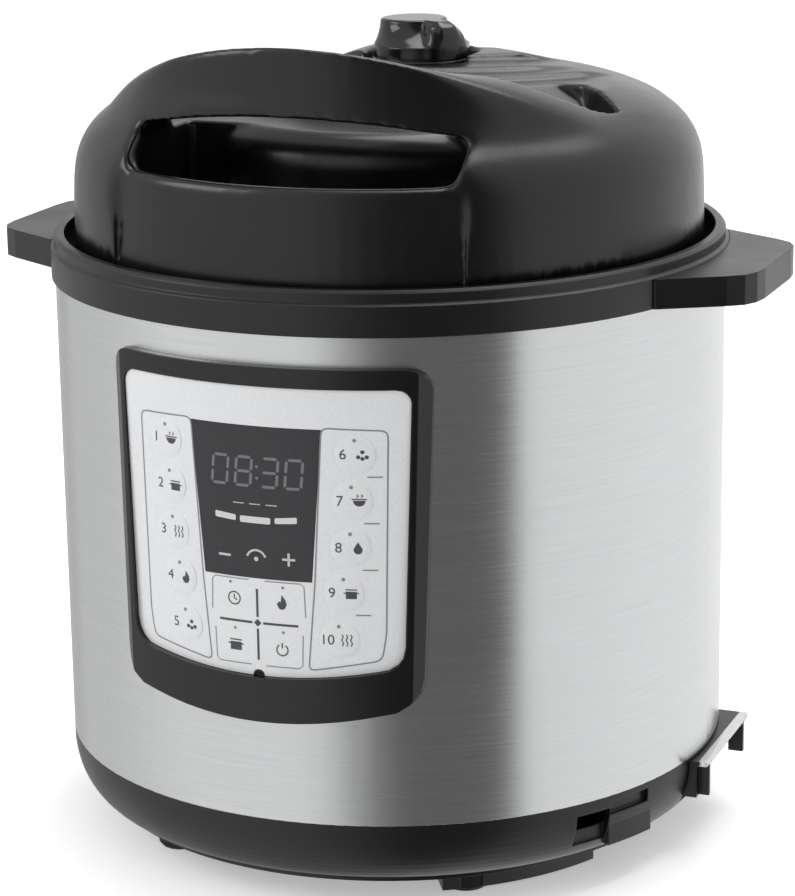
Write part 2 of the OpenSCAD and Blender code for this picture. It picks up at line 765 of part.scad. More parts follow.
module key_plungers() {
  color("#e8e8e6") for (p = key_places()) {
    front = sqrt(pow(field_r, 2) - pow(abs(p[0]) + 3.1, 2));
    translate([p[0], board_y - switch_h - seat_gap, p[1]]) rotate([90, 0, 0])
      cylinder(r = 3.1, h = front + board_y - switch_h - seat_gap);
  }
}

module key_switches() {
  color("#2b2b2e") for (p = key_places())
    translate([p[0] - 3, board_y - switch_h, p[1] - 3]) cube([6, switch_h, 6]);
}

module control_board() {
  color("#2f6b3a") difference() {
    translate([-board_half_w, board_y, board_z]) cube([2 * board_half_w, board_t, board_top_z - board_z]);
    for (side = [-1, 1]) for (z = [board_z + 4, board_top_z - 4])
      translate([side * stud_x, board_y - eps, z]) rotate([-90, 0, 0]) cylinder(r = 1.6, h = board_t + 2 * eps);
  }
}

module display_module() {
  depth = body_r - 3 + board_y;
  color("#3a2224") translate([-window_w / 2 + 8, -body_r + 3, window_z + 13])
    cube([window_w - 16, depth, window_h - 24]);
}

module board_screws() {
  color("#9a9a9c") for (side = [-1, 1]) for (z = [board_z + 4, board_top_z - 4])
    translate([side * stud_x, board_y + board_t + 1.6, z]) rotate([90, 0, 0])
      screw_up(1.5, 3, 1.6, board_t);
}

// Condensation cup at the rear

cup_top_z = collar_z - 24;
cup_back_y = body_r + 3;
cup_wall = 1.8;
rail_x = cup_w / 2 + 3.5;

module condensation_bracket() {
  color("#1b1b1c") {
    rotate([0, 0, 180]) front_panel(body_r + 0.2, body_r + 2.2)
      translate([-rail_x - 2, cup_top_z - cup_height]) square([2 * rail_x + 4, cup_height + 8]);
    difference() {
      translate([-rail_x - 2, body_r - 12, cup_top_z + 0.5]) cube([2 * rail_x + 4, cup_depth + 15, 2.5]);
      translate([0, 0, cup_top_z - eps]) cylinder(r = body_r + 0.2, h = 8);
      translate([0, cup_back_y + cup_depth / 2, cup_top_z - eps]) cylinder(r = 4, h = 8);
    }
    for (side = [-1, 1]) difference() {
      translate([side > 0 ? rail_x - 3 : -rail_x - 2, body_r - 12, cup_top_z - 5]) cube([5, cup_depth + 15, 6]);
      translate([side > 0 ? rail_x - 4 : -rail_x, body_r - 14, cup_top_z - 2.5]) cube([4, cup_depth + 20, 3]);
      translate([0, 0, cup_top_z - 6]) cylinder(r = body_r + 0.2, h = 12);
    }
  }
}

module condensation_cup() {
  foot = cup_top_z - cup_height;
  color("#d4d8da") difference() {
    union() {
      translate([-cup_w / 2, cup_back_y, foot]) cube([cup_w, cup_depth, cup_height]);
      translate([-cup_w / 2 - 3.1, cup_back_y, cup_top_z - 2]) cube([cup_w + 6.2, cup_depth, 2]);
    }
    translate([-cup_w / 2 + cup_wall, cup_back_y + cup_wall, foot + cup_wall])
      cube([cup_w - 2 * cup_wall, cup_depth - 2 * cup_wall, cup_height]);
  }
}

// Lid

post_x = cover_r * 0.495;
post_y = cover_r * 0.24;
post_places = [[-post_x, post_y], [post_x, post_y], [-post_y, -post_y * 1.17], [post_y, -post_y * 1.17]];

// Dome of the lid, grown by a margin and reaching down to a given height
module dome(grow, low) {
  r = cover_r + grow;
  h = dome_height + grow;
  rotate_extrude() polygon(concat([[0, low], [r, low]],
    [for (t = [0:6:90]) [r * pow(cos(t), 2 / dome_power), shoulder_z + h * pow(sin(t), 2 / dome_power)]]));
}

// The same shoulder as the dome, carried up into the handle's front face
module front_form() {
  bend = [for (t = [0:6:36]) [cover_r * pow(cos(t), 2 / dome_power),
    shoulder_z + dome_height * pow(sin(t), 2 / dome_power)]];
  rotate_extrude() polygon(concat([[0, cover_z], [cover_r, cover_z]], bend,
    [[arch_face_r + 2.5, shoulder_z + 44], [arch_face_r + 0.8, shoulder_z + 53],
     [arch_face_r - 0.8, arch_top_z + 2], [0, arch_top_z + 2]]));
}

// Everything behind the handle's back face
module behind_bar(grow = 0) {
  translate([0, bar_arc_y, recess_z - 20]) cylinder(r = bar_arc_r + grow, h = 90);
}

module step_disc(index) {
  translate([0, step_y, recess_z - 20]) cylinder(r = step_r[index], h = 90);
}

// Finger recess between the handle and the stepped deck
module finger_recess(grow = 0) {
  difference() {
    intersection() {
      behind_bar(grow);
      translate([0, 0, recess_z - grow]) linear_extrude(60) polygon([
        [-tip_x - grow, tip_y], [-tip_x + 24, tip_y + 30 + grow], [tip_x - 24, tip_y + 30 + grow],
        [tip_x + grow, tip_y], [tip_x, -arch_face_r - 20], [-tip_x, -arch_face_r - 20]]);
    }
    translate([0, step_y, recess_z - 20]) cylinder(r = ramp_foot_r - grow, h = 20);
    translate([0, step_y, recess_z]) cylinder(r1 = ramp_foot_r - grow, r2 = ramp_top_r - grow,
      h = dome_top_z - 5 - recess_z);
    translate([0, step_y, dome_top_z - 5]) cylinder(r = ramp_top_r - grow, h = 50);
  }
}

// Surface that the lid has behind the handle: dome, rear plateau, steps, recess and knob well
module deck() {
  difference() {
    union() {
      dome(0.3, cover_z - 5);
      intersection() {
        step_disc(0);
        rotate_extrude() polygon([[0, recess_z], [84, recess_z], [84, dome_top_z - 4],
          [60, plateau_z], [0, plateau_z]]);
      }
    }
    for (i = [0:2]) difference() {
      translate([0, 0, step_z[i]]) cylinder(r = cover_r, h = 30);
      step_disc(i);
    }
    finger_recess();
    translate([0, knob_y, well_z]) cylinder(r = well_r, h = 30);
  }
}

// Domed boss at the back of the finger opening, with its top edge rounded over
module boss(shrink = 0) {
  edge_r = boss_r - shrink;
  top = recess_z + 0.4 - shrink;
  translate([0, boss_y, 0]) rotate_extrude() polygon(concat([[0, cover_z], [edge_r, cover_z]],
    [for (t = [0:15:90]) [edge_r - boss_round_w * (1 - cos(t)), top - boss_round_h * (1 - sin(t))]],
    [[0, top]]));
}

// Space of the finger opening under the handle, in front of the boss and above a given height
module grip_space(low, grow = 0) {
  depth = cover_r + 10 + pocket_back_y + 2 * grow;
  difference() {
    translate([-grip_half_w - grow, pocket_back_y + grow - depth, low]) cube([2 * (grip_half_w + grow), depth, 60]);
    boss(grow);
  }
}

// Finger opening: a well behind the front wall that opens forwards above the lip
module grip_opening() {
  intersection() {
    grip_space(pocket_floor_z);
    union() {
      cylinder(r = front_wall_r - front_wall_t, h = lip_z + 1);
      translate([0, 0, lip_z]) cylinder(r = cover_r + 20, h = 60);
    }
    translate([0, 0, grip_top_z - 280]) rotate([90, 0, 0]) cylinder(r = 280, h = 400, center = true);
  }
}

// Space inside the cover
module cover_void() {
  difference() {
    intersection() {
      difference() {
        dome(-cover_wall, cover_z - 1);
        translate([0, 0, dome_top_z - 8]) cylinder(r = cover_r, h = 40);
      }
      translate([0, 0, cover_z - 1]) cylinder(r = cover_r + 1, h = 100);
    }
    // Walls of the finger opening, of the front and of the recess
    grip_space(pocket_floor_z - cover_wall, cover_wall);
    difference() {
      translate([-grip_half_w - 6, -cover_r - 5, liner_top_z + 0.6])
        cube([2 * grip_half_w + 12, cover_r + 5, pocket_floor_z - liner_top_z]);
      translate([0, 0, cover_z]) cylinder(r = front_wall_r - front_wall_t, h = 60);
    }
    finger_recess(cover_wall);
    // Screw posts
    for (p = post_places) translate([p[0], p[1], liner_top_z + 0.1]) cylinder(r = 4, h = 60);
  }
}

module lid_cover() {
  color("#1d1d1f") difference() {
    intersection() {
      front_form();
      union() {
        dome(0.3, cover_z - 5);
        translate([0, 0, arch_top_z - arch_radius]) rotate([90, 0, 0])
          cylinder(r = arch_radius, h = 400, center = true);
      }
    }
    difference() {
      behind_bar();
      deck();
    }
    grip_opening();
    cover_void();
    // Front face between the legs, set back towards the lip
    difference() {
      translate([-grip_half_w - 5, -cover_r - 5, cover_z - 1]) cube([2 * grip_half_w + 10, cover_r, lip_z - cover_z + 1]);
      translate([0, 0, cover_z - 2]) cylinder(r1 = cover_r - 0.7, r2 = front_wall_r, h = lip_z - cover_z + 4);
    }
    // Holes for the steam pipe, the float valve and the screws
    translate([0, knob_y, dome_top_z - 15]) cylinder(r = pipe_r + 1, h = 20);
    translate([float_x, float_y, dome_top_z - 15]) cylinder(r = float_head_r + 0.6, h = 30);
    for (p = post_places) translate([p[0], p[1], liner_top_z]) cylinder(r = 1.7, h = 14);
  }
}

// Guide pins of the lock slider
lock_travel = 4;
lock_pin_x = [float_x + 15, float_x + 33];

module lid_liner() {
  color("#b4b6b8") for (x = lock_pin_x) translate([x, float_y, liner_top_z - 0.2])
    cylinder(r = 2.1, h = 3.2);
  color("#b4b6b8") difference() {
    union() {
      rotate_extrude() polygon([[0, liner_z], [liner_inner_r, liner_z], [liner_inner_r, tab_z],
        [liner_r, tab_z], [liner_r, liner_top_z], [0, liner_top_z]]);
      for (i = [0:lug_count - 1])
        ring_sector(tab_inner_r, liner_inner_r + 0.4, tab_z, tab_top_z, i * bayonet_pitch, lug_angle - 2);
    }
    translate([0, knob_y, liner_z - eps]) cylinder(r = pipe_r + 0.1, h = liner_wall + 2 * eps);
    translate([float_x, float_y, liner_z - eps]) cylinder(r = float_stem_r + run_gap, h = liner_wall + 2 * eps);
    for (p = post_places) translate([p[0], p[1], liner_z - eps]) cylinder(r = 1.8, h = liner_wall + 2 * eps);
  }
}

module liner_screws() {
  color("#9a9a9c") for (p = post_places) translate([p[0], p[1], liner_z - 1.6])
    screw_up(1.6, 3.2, 1.6, liner_wall + 12);
}

module sealing_ring() {
  inner = pot_inner_r - 5;
  outer = liner_inner_r - 0.4;
  color("#dfe3e2") rotate_extrude() polygon([
    [inner, seal_z + 2.5], [inner + 3, seal_z], [pot_r + pot_rim_reach + 2, seal_z], [outer, seal_z + 2],
    [outer, seal_z + seal_h], [inner, seal_z + seal_h], [inner, seal_z + seal_h - 2.5],
    [inner + 8, seal_z + seal_h - 3], [inner + 8, seal_z + 4], [inner, seal_z + 3.8]]);
}

module seal_rack() {
  outer = pot_inner_r - 5.3;
  color("#b4b6b8") difference() {
    ring(outer - 3.5, outer, seal_z + 1.5, liner_z);
    for (a = [0:30:150]) rotate([0, 0, a]) translate([-outer - 5, -12, seal_z + 3.5])
      cube([2 * outer + 10, 24, 2.5]);
  }
}

// Steam release and float valve

float_stem_r = 2.4;
filter_h = 13;

module steam_pipe() {
  color("#c9cbcd") translate([0, knob_y, 0]) difference() {
    union() {
      translate([0, 0, liner_z - 7]) cylinder(r = pipe_r, h = pipe_top_z - liner_z + 7);
      translate([0, 0, liner_top_z]) cylinder(r = pipe_r + 4, h = 2.5);
    }
    translate([0, 0, liner_z - 8]) cylinder(r = pipe_r - 2.5, h = pipe_top_z - liner_z + 20);
  }
}

module pipe_nut() {
  color("#b0b2b4") translate([0, knob_y, liner_z - 4.5]) difference() {
    cylinder(r = pipe_r + 4, h = 4.5, $fn = 6);
    translate([0, 0, -eps]) cylinder(r = pipe_r + 0.1, h = 4.5 + 2 * eps);
  }
}

module steam_filter() {
  inner = pipe_r + 4.3;
  color("#c4c6c8") translate([0, knob_y, liner_z - filter_h]) difference() {
    cylinder(r = inner + 1.2, h = filter_h - seat_gap);
    translate([0, 0, 1.2]) cylinder(r = inner, h = filter_h);
    for (a = [0:60:300]) rotate([0, 0, a]) {
      translate([5, 0, -eps]) cylinder(r = 1.2, h = 3);
      translate([inner + 2, 0, 4.5]) rotate([0, -90, 0]) cylinder(r = 1.6, h = 4);
    }
  }
}

module steam_release_knob() {
  grip_r = 10;
  grip_w = 14;
  color("#232326") translate([0, knob_y, knob_z]) difference() {
    union() {
      cylinder(r = knob_r, h = 4.5);
      translate([0, 0, 4.5]) cylinder(r1 = knob_r - 2, r2 = knob_r - 3.5, h = knob_h - 8.5);
      // Grip, turned towards the front right
      rotate([0, 0, -31.5]) {
        translate([5 - knob_r, -grip_w / 2, knob_h - 12]) cube([2 * knob_r - 15.5, grip_w, 12]);
        intersection() {
          translate([knob_r - 10.5, grip_w / 2, knob_h - grip_r]) rotate([90, 0, 0])
            cylinder(r = grip_r, h = grip_w);
          translate([0, -grip_w, 2]) cube([knob_r, 2 * grip_w, knob_h]);
        }
      }
    }
    translate([0, 0, -eps]) cylinder(r = pipe_r + run_gap, h = pipe_top_z - knob_z + 1 + eps);
  }
}

module float_valve() {
  cap_top = liner_z - seat_gap - float_travel;
  color("#4a4a4e") translate([float_x, float_y, 0]) {
    translate([0, 0, cap_top - 2]) cylinder(r = float_stem_r, h = float_top_z - cap_top);
    translate([0, 0, cap_top - 2]) cylinder(r = 5, h = 2);
    translate([0, 0, liner_top_z + seat_gap]) cylinder(r = 5.5, h = 1.8);
    translate([0, 0, float_top_z - 4]) cylinder(r = float_head_r, h = 4);
  }
}

module float_guard() {
  color("#c4c6c8") translate([float_x, float_y, liner_z - 10]) difference() {
    cylinder(r = 8.5, h = 10);
    translate([0, 0, -eps]) cylinder(r = 7.2, h = 10 + 2 * eps);
    for (a = [0:60:120]) rotate([0, 0, a]) translate([-10, -2.2, -eps]) cube([20, 4.4, 6]);
  }
}

// Bar beside the float valve that keeps the lid from turning under pressure
module lock_slider() {
  color("#d8d4c8") difference() {
    translate([float_x + 6.5, float_y - 5, liner_top_z + seat_gap]) cube([34, 10, 1.8]);
    for (x = lock_pin_x) translate([x, float_y, liner_top_z]) {
      cylinder(r = 2.1 + run_gap, h = 4);
      translate([-lock_travel, 0, 0]) cylinder(r = 2.1 + run_gap, h = 4);
      translate([-lock_travel, -2.1 - run_gap, 0]) cube([lock_travel, 4.2 + 2 * run_gap, 4]);
    }
  }
}

base_shell();
bottom_plate();
feet();
bottom_screws();
steel_housing();
top_collar();
side_handle_left();
side_handle_right();
pressure_chamber();
heating_plate();
heater_terminals();
sensor_holder();
sensor_cap();
sensor_spring();
pressure_plate();
pressure_switch();
thermal_fuse();
power_board();
power_components();
inlet_housing();
inlet_pins();
control_bezel();
control_overlay();
display_window();
key_plungers();
key_switches();
control_board();
display_module();
board_screws();
condensation_bracket();
condensation_cup();
cooking_pot();
sealing_ring();
lid_cover();
lid_liner();
seal_rack();
liner_screws();
steam_pipe();
pipe_nut();
steam_filter();
steam_release_knob();
float_valve();
float_guard();
lock_slider();
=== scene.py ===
"""Electric pressure cooker: finishes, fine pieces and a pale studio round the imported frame.

All lengths are in metres, in the frame of the solids: +Z up, -Y towards the control panel.
"""

from __future__ import annotations

import logging
import math
from collections.abc import Callable, Iterator, Sequence
from contextlib import contextmanager
from dataclasses import dataclass, field
from enum import Enum

import bmesh
import bpy
from mathutils import Matrix, Vector

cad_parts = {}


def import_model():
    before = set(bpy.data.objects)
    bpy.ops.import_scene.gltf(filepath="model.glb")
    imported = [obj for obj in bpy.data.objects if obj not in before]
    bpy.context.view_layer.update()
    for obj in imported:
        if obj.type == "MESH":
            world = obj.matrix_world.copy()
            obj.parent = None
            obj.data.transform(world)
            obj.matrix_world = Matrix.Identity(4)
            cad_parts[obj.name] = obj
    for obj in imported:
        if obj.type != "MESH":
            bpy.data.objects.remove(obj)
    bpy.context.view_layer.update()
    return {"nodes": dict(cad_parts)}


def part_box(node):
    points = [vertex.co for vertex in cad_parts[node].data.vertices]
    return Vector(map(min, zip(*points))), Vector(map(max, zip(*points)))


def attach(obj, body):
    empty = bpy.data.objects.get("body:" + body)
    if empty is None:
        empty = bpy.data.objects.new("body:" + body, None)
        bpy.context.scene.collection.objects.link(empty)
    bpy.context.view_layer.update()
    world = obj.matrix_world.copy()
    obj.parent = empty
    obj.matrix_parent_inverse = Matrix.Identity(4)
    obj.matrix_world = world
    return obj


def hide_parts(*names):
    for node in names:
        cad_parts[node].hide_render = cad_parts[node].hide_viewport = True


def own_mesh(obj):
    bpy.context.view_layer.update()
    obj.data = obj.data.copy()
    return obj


LOG = logging.getLogger("pressure_cooker")
MM = 0.001
# Inner radius of the pot and radius of the spring's wire, in millimetres
POT_INNER_R = 110
WIRE_R = 0.6
Obj = bpy.types.Object
Tree = bpy.types.NodeTree
Node = bpy.types.Node
Socket = bpy.types.NodeSocket
Point = tuple[float, float]
Corner = tuple[float, float, float]
Test = Callable[[Vector, Vector], bool]


# --- small tools


def hex_colour(code: str) -> tuple[float, float, float, float]:
    """Turns an sRGB hex colour into Blender's linear colour.

    Args:
        code: Six hex digits, with or without a leading '#'.

    Returns:
        Red, green, blue and an alpha of 1.
    """
    code = code.lstrip("#")
    channels = [int(code[i : i + 2], 16) / 255 for i in (0, 2, 4)]
    red, green, blue = (c / 12.92 if c <= 0.04045 else ((c + 0.055) / 1.055) ** 2.4 for c in channels)
    return (red, green, blue, 1.0)


def per(size_mm: float) -> float:
    """Scale of a pattern on Object coordinates whose features are size_mm across."""
    return 1000.0 / size_mm


def add_node(tree: Tree, kind: str, inputs: dict | None = None, **settings: object) -> Node:
    """Adds one shader node with its settings, values and links.

    Args:
        tree: The node tree to add to.
        kind: The node's type name, without ShaderNode.
        inputs: Input name or number to a value, a socket, or a node whose first output feeds it.
        settings: Properties of the node.

    Returns:
        The new node.
    """
    node = tree.nodes.new("ShaderNode" + kind)
    for name, value in settings.items():
        setattr(node, name, value)
    for name, value in (inputs or {}).items():
        if isinstance(value, Node):
            value = value.outputs[0]
        if isinstance(value, Socket):
            tree.links.new(value, node.inputs[name])
        else:
            node.inputs[name].default_value = value
    return node


def maths(tree: Tree, operation: str, first: object, second: object) -> Node:
    """One sum of two numbers or sockets."""
    return add_node(tree, "Math", {0: first, 1: second}, operation=operation)


def noise(tree: Tree, place: object, size_mm: float, detail: float, roughness: float = 0.5) -> Node:
    """Noise whose features are size_mm across."""
    return add_node(tree, "TexNoise", {"Vector": place, "Scale": per(size_mm), "Detail": detail,
                                       "Roughness": roughness})


def spread(tree: Tree, value: object, given: Point, wanted: Point) -> Node:
    """Maps one range of a value onto another."""
    return add_node(tree, "MapRange", {"Value": value, "From Min": given[0], "From Max": given[1],
                                       "To Min": wanted[0], "To Max": wanted[1]})


def tones(tree: Tree, value: object, colours: Sequence[tuple], span: Point = (0.0, 1.0)) -> Node:
    """Goes from one colour to another by a value.

    Args:
        tree: The material's tree.
        value: What the colour follows.
        colours: The two colours.
        span: Where the value has the first and the second colour.

    Returns:
        The ramp.
    """
    node = add_node(tree, "ValToRGB", {"Fac": value})
    for stop, place, colour in zip(node.color_ramp.elements, span, colours):
        stop.position, stop.color = place, colour
    return node


def relief(tree: Tree, height: object, depth_mm: float, strength: float, normal: Node | None = None) -> Node:
    """Makes bump from a height.

    Args:
        tree: The material's tree.
        height: The height, from 0 to 1.
        depth_mm: What a height of 1 stands for.
        strength: How much of it shows.
        normal: The normal under it, where there is one.

    Returns:
        The bump node.
    """
    inputs = {"Height": height, "Distance": depth_mm * MM, "Strength": strength}
    if normal is not None:
        inputs["Normal"] = normal
    return add_node(tree, "Bump", inputs)


def around(tree: Tree, place: object) -> tuple[Node, Node]:
    """A place's coordinates, and its direction round the cooker from the front, in radians."""
    axes = add_node(tree, "SeparateXYZ", {"Vector": place})
    return axes, maths(tree, "ARCTAN2", axes.outputs["X"], maths(tree, "MULTIPLY", axes.outputs["Y"], -1.0))


def deselect() -> None:
    """Leaves nothing selected, so that an operator acts on one piece only."""
    if bpy.context.mode != "OBJECT":
        bpy.ops.object.mode_set(mode="OBJECT")
    bpy.ops.object.select_all(action="DESELECT")


def activate(obj: Obj) -> None:
    """Selects one object alone and makes it active."""
    deselect()
    obj.select_set(True)
    bpy.context.view_layer.objects.active = obj


def primitive(add: Callable[..., set], name: str, **settings: object) -> Obj:
    """Adds a primitive with nothing else selected.

    Args:
        add: The operator that adds it.
        name: The new object's name.
        settings: The operator's settings.

    Returns:
        The new object.
    """
    deselect()
    add(**settings)
    obj = bpy.context.object
    obj.name = name
    return obj


@contextmanager
def editing(obj: Obj, mode: str = "FACE", everything: bool = False) -> Iterator[None]:
    """Edit mode on one object.

    Args:
        obj: The object to edit.
        mode: VERT, EDGE or FACE.
        everything: Whether all is selected at the start, and otherwise nothing.
    """
    activate(obj)
    bpy.ops.object.mode_set(mode="EDIT")
    bpy.ops.mesh.select_mode(type=mode)
    bpy.ops.mesh.select_all(action="SELECT" if everything else "DESELECT")
    try:
        yield
    finally:
        bpy.ops.object.mode_set(mode="OBJECT")


def pick_faces(obj: Obj, test: Test) -> None:
    """Selects the faces that pass a test, in edit mode.

    Args:
        obj: The object in edit mode.
        test: Takes a face's centre and normal.
    """
    mesh = bmesh.from_edit_mesh(obj.data)
    for face in mesh.faces:
        face.select_set(test(face.calc_center_median(), face.normal))
    bmesh.update_edit_mesh(obj.data)


def apply_modifier(obj: Obj, kind: str, **settings: object) -> None:
    """Adds a modifier to an object and applies it.

    Args:
        obj: The object.
        kind: The modifier's type.
        settings: The modifier's properties.
    """
    activate(obj)
    modifier = obj.modifiers.new(kind.lower(), kind)
    for name, value in settings.items():
        setattr(modifier, name, value)
    bpy.ops.object.modifier_apply(modifier=modifier.name)


def settle(obj: Obj) -> Obj:
    """Puts the object's place, turn and size into its mesh."""
    activate(obj)
    bpy.ops.object.transform_apply(location=True, rotation=True, scale=True)
    return obj


def join(objects: Sequence[Obj], name: str) -> Obj:
    """Joins several objects into one.

    Args:
        objects: The objects, of which the first one stays.
        name: The joined object's name.

    Returns:
        The joined object.
    """
    deselect()
    for obj in objects:
        obj.select_set(True)
    bpy.context.view_layer.objects.active = objects[0]
    bpy.ops.object.join()
    objects[0].name = name
    return objects[0]


def copy_of(obj: Obj, matrix: Matrix) -> Obj:
    """Copies a piece with its own mesh, moved by a matrix that goes into that mesh."""
    twin = obj.copy()
    twin.data = obj.data.copy()
    bpy.context.scene.collection.objects.link(twin)
    twin.data.transform(matrix)
    return twin


def box_between(name: str, low: Corner, high: Corner) -> Obj:
    """Adds a box.

    Args:
        name: Its name.
        low: Its lowest corner, in millimetres.
        high: Its highest corner.

    Returns:
        The box.
    """
    box = primitive(bpy.ops.mesh.primitive_cube_add, name, size=1.0,
                    location=[(a + b) / 2 * MM for a, b in zip(low, high)],
                    scale=[(b - a) * MM for a, b in zip(low, high)])
    return settle(box)


def dress(obj: Obj, material: bpy.types.Material, body: str, smooth: float = 35) -> None:
    """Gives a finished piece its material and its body.

    Args:
        obj: The piece.
        material: Its only material.
        body: The body that it moves with.
        smooth: Edges flatter than this many degrees are shaded smooth.
    """
    obj.data.materials.clear()
    obj.data.materials.append(material)
    activate(obj)
    bpy.ops.object.shade_smooth_by_angle(angle=math.radians(smooth))
    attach(obj, body)
    LOG.info("%s: %d faces on body %s", obj.name, len(obj.data.polygons), body)


# --- finishes


class Grain(Enum):
    """How a metal's surface was worked."""

    BRUSHED = "brushed around the body"
    TURNED = "turned or spun about the axis"
    ROLLED = "plain rolled or plated"


@dataclass(frozen=True)
class Finish:
    """A finish that makes one Blender material.

    Attributes:
        name: The real material's name.
    """

    name: str

    def make(self) -> bpy.types.Material:
        """Builds the material once and gives the same one after that."""
        if self.name in bpy.data.materials:
            return bpy.data.materials[self.name]
        material = bpy.data.materials.new(self.name)
        material.use_nodes = True
        tree = material.node_tree
        tree.nodes.clear()
        shader = self.shade(tree)
        add_node(tree, "OutputMaterial", {"Surface": shader})
        return material

    def shade(self, tree: Tree) -> Node:
        """Builds the nodes and returns the shader."""
        raise NotImplementedError


@dataclass(frozen=True)
class MouldedPlastic(Finish):
    """Injection moulded ABS or polypropylene: a fine spark-eroded grain, soft corners, faint handling marks.

    Attributes:
        colour: sRGB hex.
        roughness: Middle roughness.
        grain_mm: Width of a grain of the mould's texture.
        grain_depth_mm: Its depth.
        corner_mm: Radius that rounds the corners in the light.
        handling_mm: Size of the marks that handling leaves.
    """

    colour: str
    roughness: float
    grain_mm: float
    grain_depth_mm: float
    corner_mm: float
    handling_mm: float = 45

    def shade(self, tree: Tree) -> Node:
        """Grain as bump, handling marks as roughness, a faint mottle as colour."""
        place = add_node(tree, "TexCoord").outputs["Object"]
        grain = noise(tree, place, self.grain_mm, 3.0)
        marks = noise(tree, place, self.handling_mm, 5.0, 0.6)
        corner = add_node(tree, "Bevel", {"Radius": self.corner_mm * MM}, samples=6)
        dark = hex_colour(self.colour)
        light = tuple(min(1.0, c * 1.35 + 0.002) for c in dark[:3]) + (1.0,)
        return add_node(tree, "BsdfPrincipled", {
            "Base Color": tones(tree, marks, (dark, light)),
            "Roughness": spread(tree, marks, (0.3, 0.7), (self.roughness - 0.05, self.roughness + 0.07)),
            "Normal": relief(tree, grain, self.grain_depth_mm, 0.6, corner), "Specular IOR Level": 0.5, "IOR": 1.5})


@dataclass(frozen=True)
class WorkedMetal(Finish):
    """Bare metal whose lines run round the cooker's axis, as brushing, spinning or turning leaves them.

    Attributes:
        colour: sRGB hex of the metal's reflection.
        roughness: Middle roughness.
        grain: How it was worked.
        line_mm: Width of a line. The real ones are 0.1 to 0.3 mm, too fine to show, so they are drawn coarser.
        line_depth_mm: Their depth.
        stretch: Anisotropy of the reflection, across the lines.
        cloud_mm: Size of the soft variation in its gloss.
    """

    colour: str
    roughness: float
    grain: Grain
    line_mm: float
    line_depth_mm: float
    stretch: float = 0.0
    cloud_mm: float = 70

    def lines(self, tree: Tree, place: Socket) -> Node:
        """Noise drawn out along the direction of work.

        Args:
            tree: The material's tree.
            place: Object coordinates.

        Returns:
            The noise.
        """
        if self.grain is Grain.ROLLED:
            return noise(tree, place, self.line_mm * 3, 4.0)
        axes, angle = around(tree, place)
        flat = add_node(tree, "VectorMath", {0: place, 1: (1.0, 1.0, 0.0)}, operation="MULTIPLY")
        reach = add_node(tree, "VectorMath", {0: flat}, operation="LENGTH").outputs["Value"]
        vector = add_node(tree, "CombineXYZ", {
            "X": maths(tree, "MULTIPLY", angle, 3.0), "Y": maths(tree, "MULTIPLY", reach, per(self.line_mm)),
            "Z": maths(tree, "MULTIPLY", axes.outputs["Z"], per(self.line_mm))})
        return noise(tree, vector, 1 / MM, 3.0, 0.7)

    def shade(self, tree: Tree) -> Node:
        """Lines in bump and roughness, large soft variation in roughness, corners rounded in the light."""
        place = add_node(tree, "TexCoord").outputs["Object"]
        line = self.lines(tree, place)
        both = maths(tree, "ADD", line, noise(tree, place, self.cloud_mm, 3.0))
        base = hex_colour(self.colour)
        dull = tuple(c * 0.9 for c in base[:3]) + (1.0,)
        corner = add_node(tree, "Bevel", {"Radius": 0.4 * MM}, samples=4)
        inputs = {"Base Color": tones(tree, line, (dull, base), (0.25, 0.75)), "Metallic": 1.0,
                  "Roughness": spread(tree, both, (0.6, 1.4), (self.roughness * 0.8, self.roughness * 1.25)),
                  "Normal": relief(tree, line, self.line_depth_mm, 0.5, corner)}
        if self.stretch:
            inputs |= {"Anisotropic": self.stretch, "Anisotropic Rotation": 0.25,
                       "Tangent": add_node(tree, "Tangent", direction_type="RADIAL", axis="Z")}
        return add_node(tree, "BsdfPrincipled", inputs)


@dataclass(frozen=True)
class Coating(Finish):
    """A print, film, lacquer, rubber or ceramic: one colour with a fine speckle and its own gloss.

    Attributes:
        colour: sRGB hex.
        second: sRGB hex of the speckle.
        speckle_mm: Size of the speckle.
        roughness: Roughness.
        metallic: Share of metal, as in a silver print.
        coat: Clear coat over it.
        bump_mm: Depth of the speckle.
        through: Share of light that passes, as in a cup or silicone.
        glow: Strength of its own light, as in a lit display.
    """

    colour: str = "#888888"
    second: str = "#808080"
    speckle_mm: float = 1.5
    roughness: float = 0.5
    metallic: float = 0.0
    coat: float = 0.0
    bump_mm: float = 0.0
    through: float = 0.0
    glow: float = 0.0

    def shade(self, tree: Tree) -> Node:
        """Speckle in colour and, where it has depth, in bump."""
        place = add_node(tree, "TexCoord").outputs["Object"]
        speck = noise(tree, place, self.speckle_mm, 4.0)
        inputs = {"Base Color": tones(tree, speck, (hex_colour(self.second), hex_colour(self.colour)), (0.35, 0.65)),
                  "Roughness": self.roughness, "Metallic": self.metallic, "Coat Weight": self.coat,
                  "Coat Roughness": 0.15, "Transmission Weight": self.through, "IOR": 1.45,
                  "Emission Strength": self.glow, "Emission Color": hex_colour(self.colour)}
        if self.bump_mm:
            inputs["Normal"] = relief(tree, speck, self.bump_mm, 0.6)
        return add_node(tree, "BsdfPrincipled", inputs)


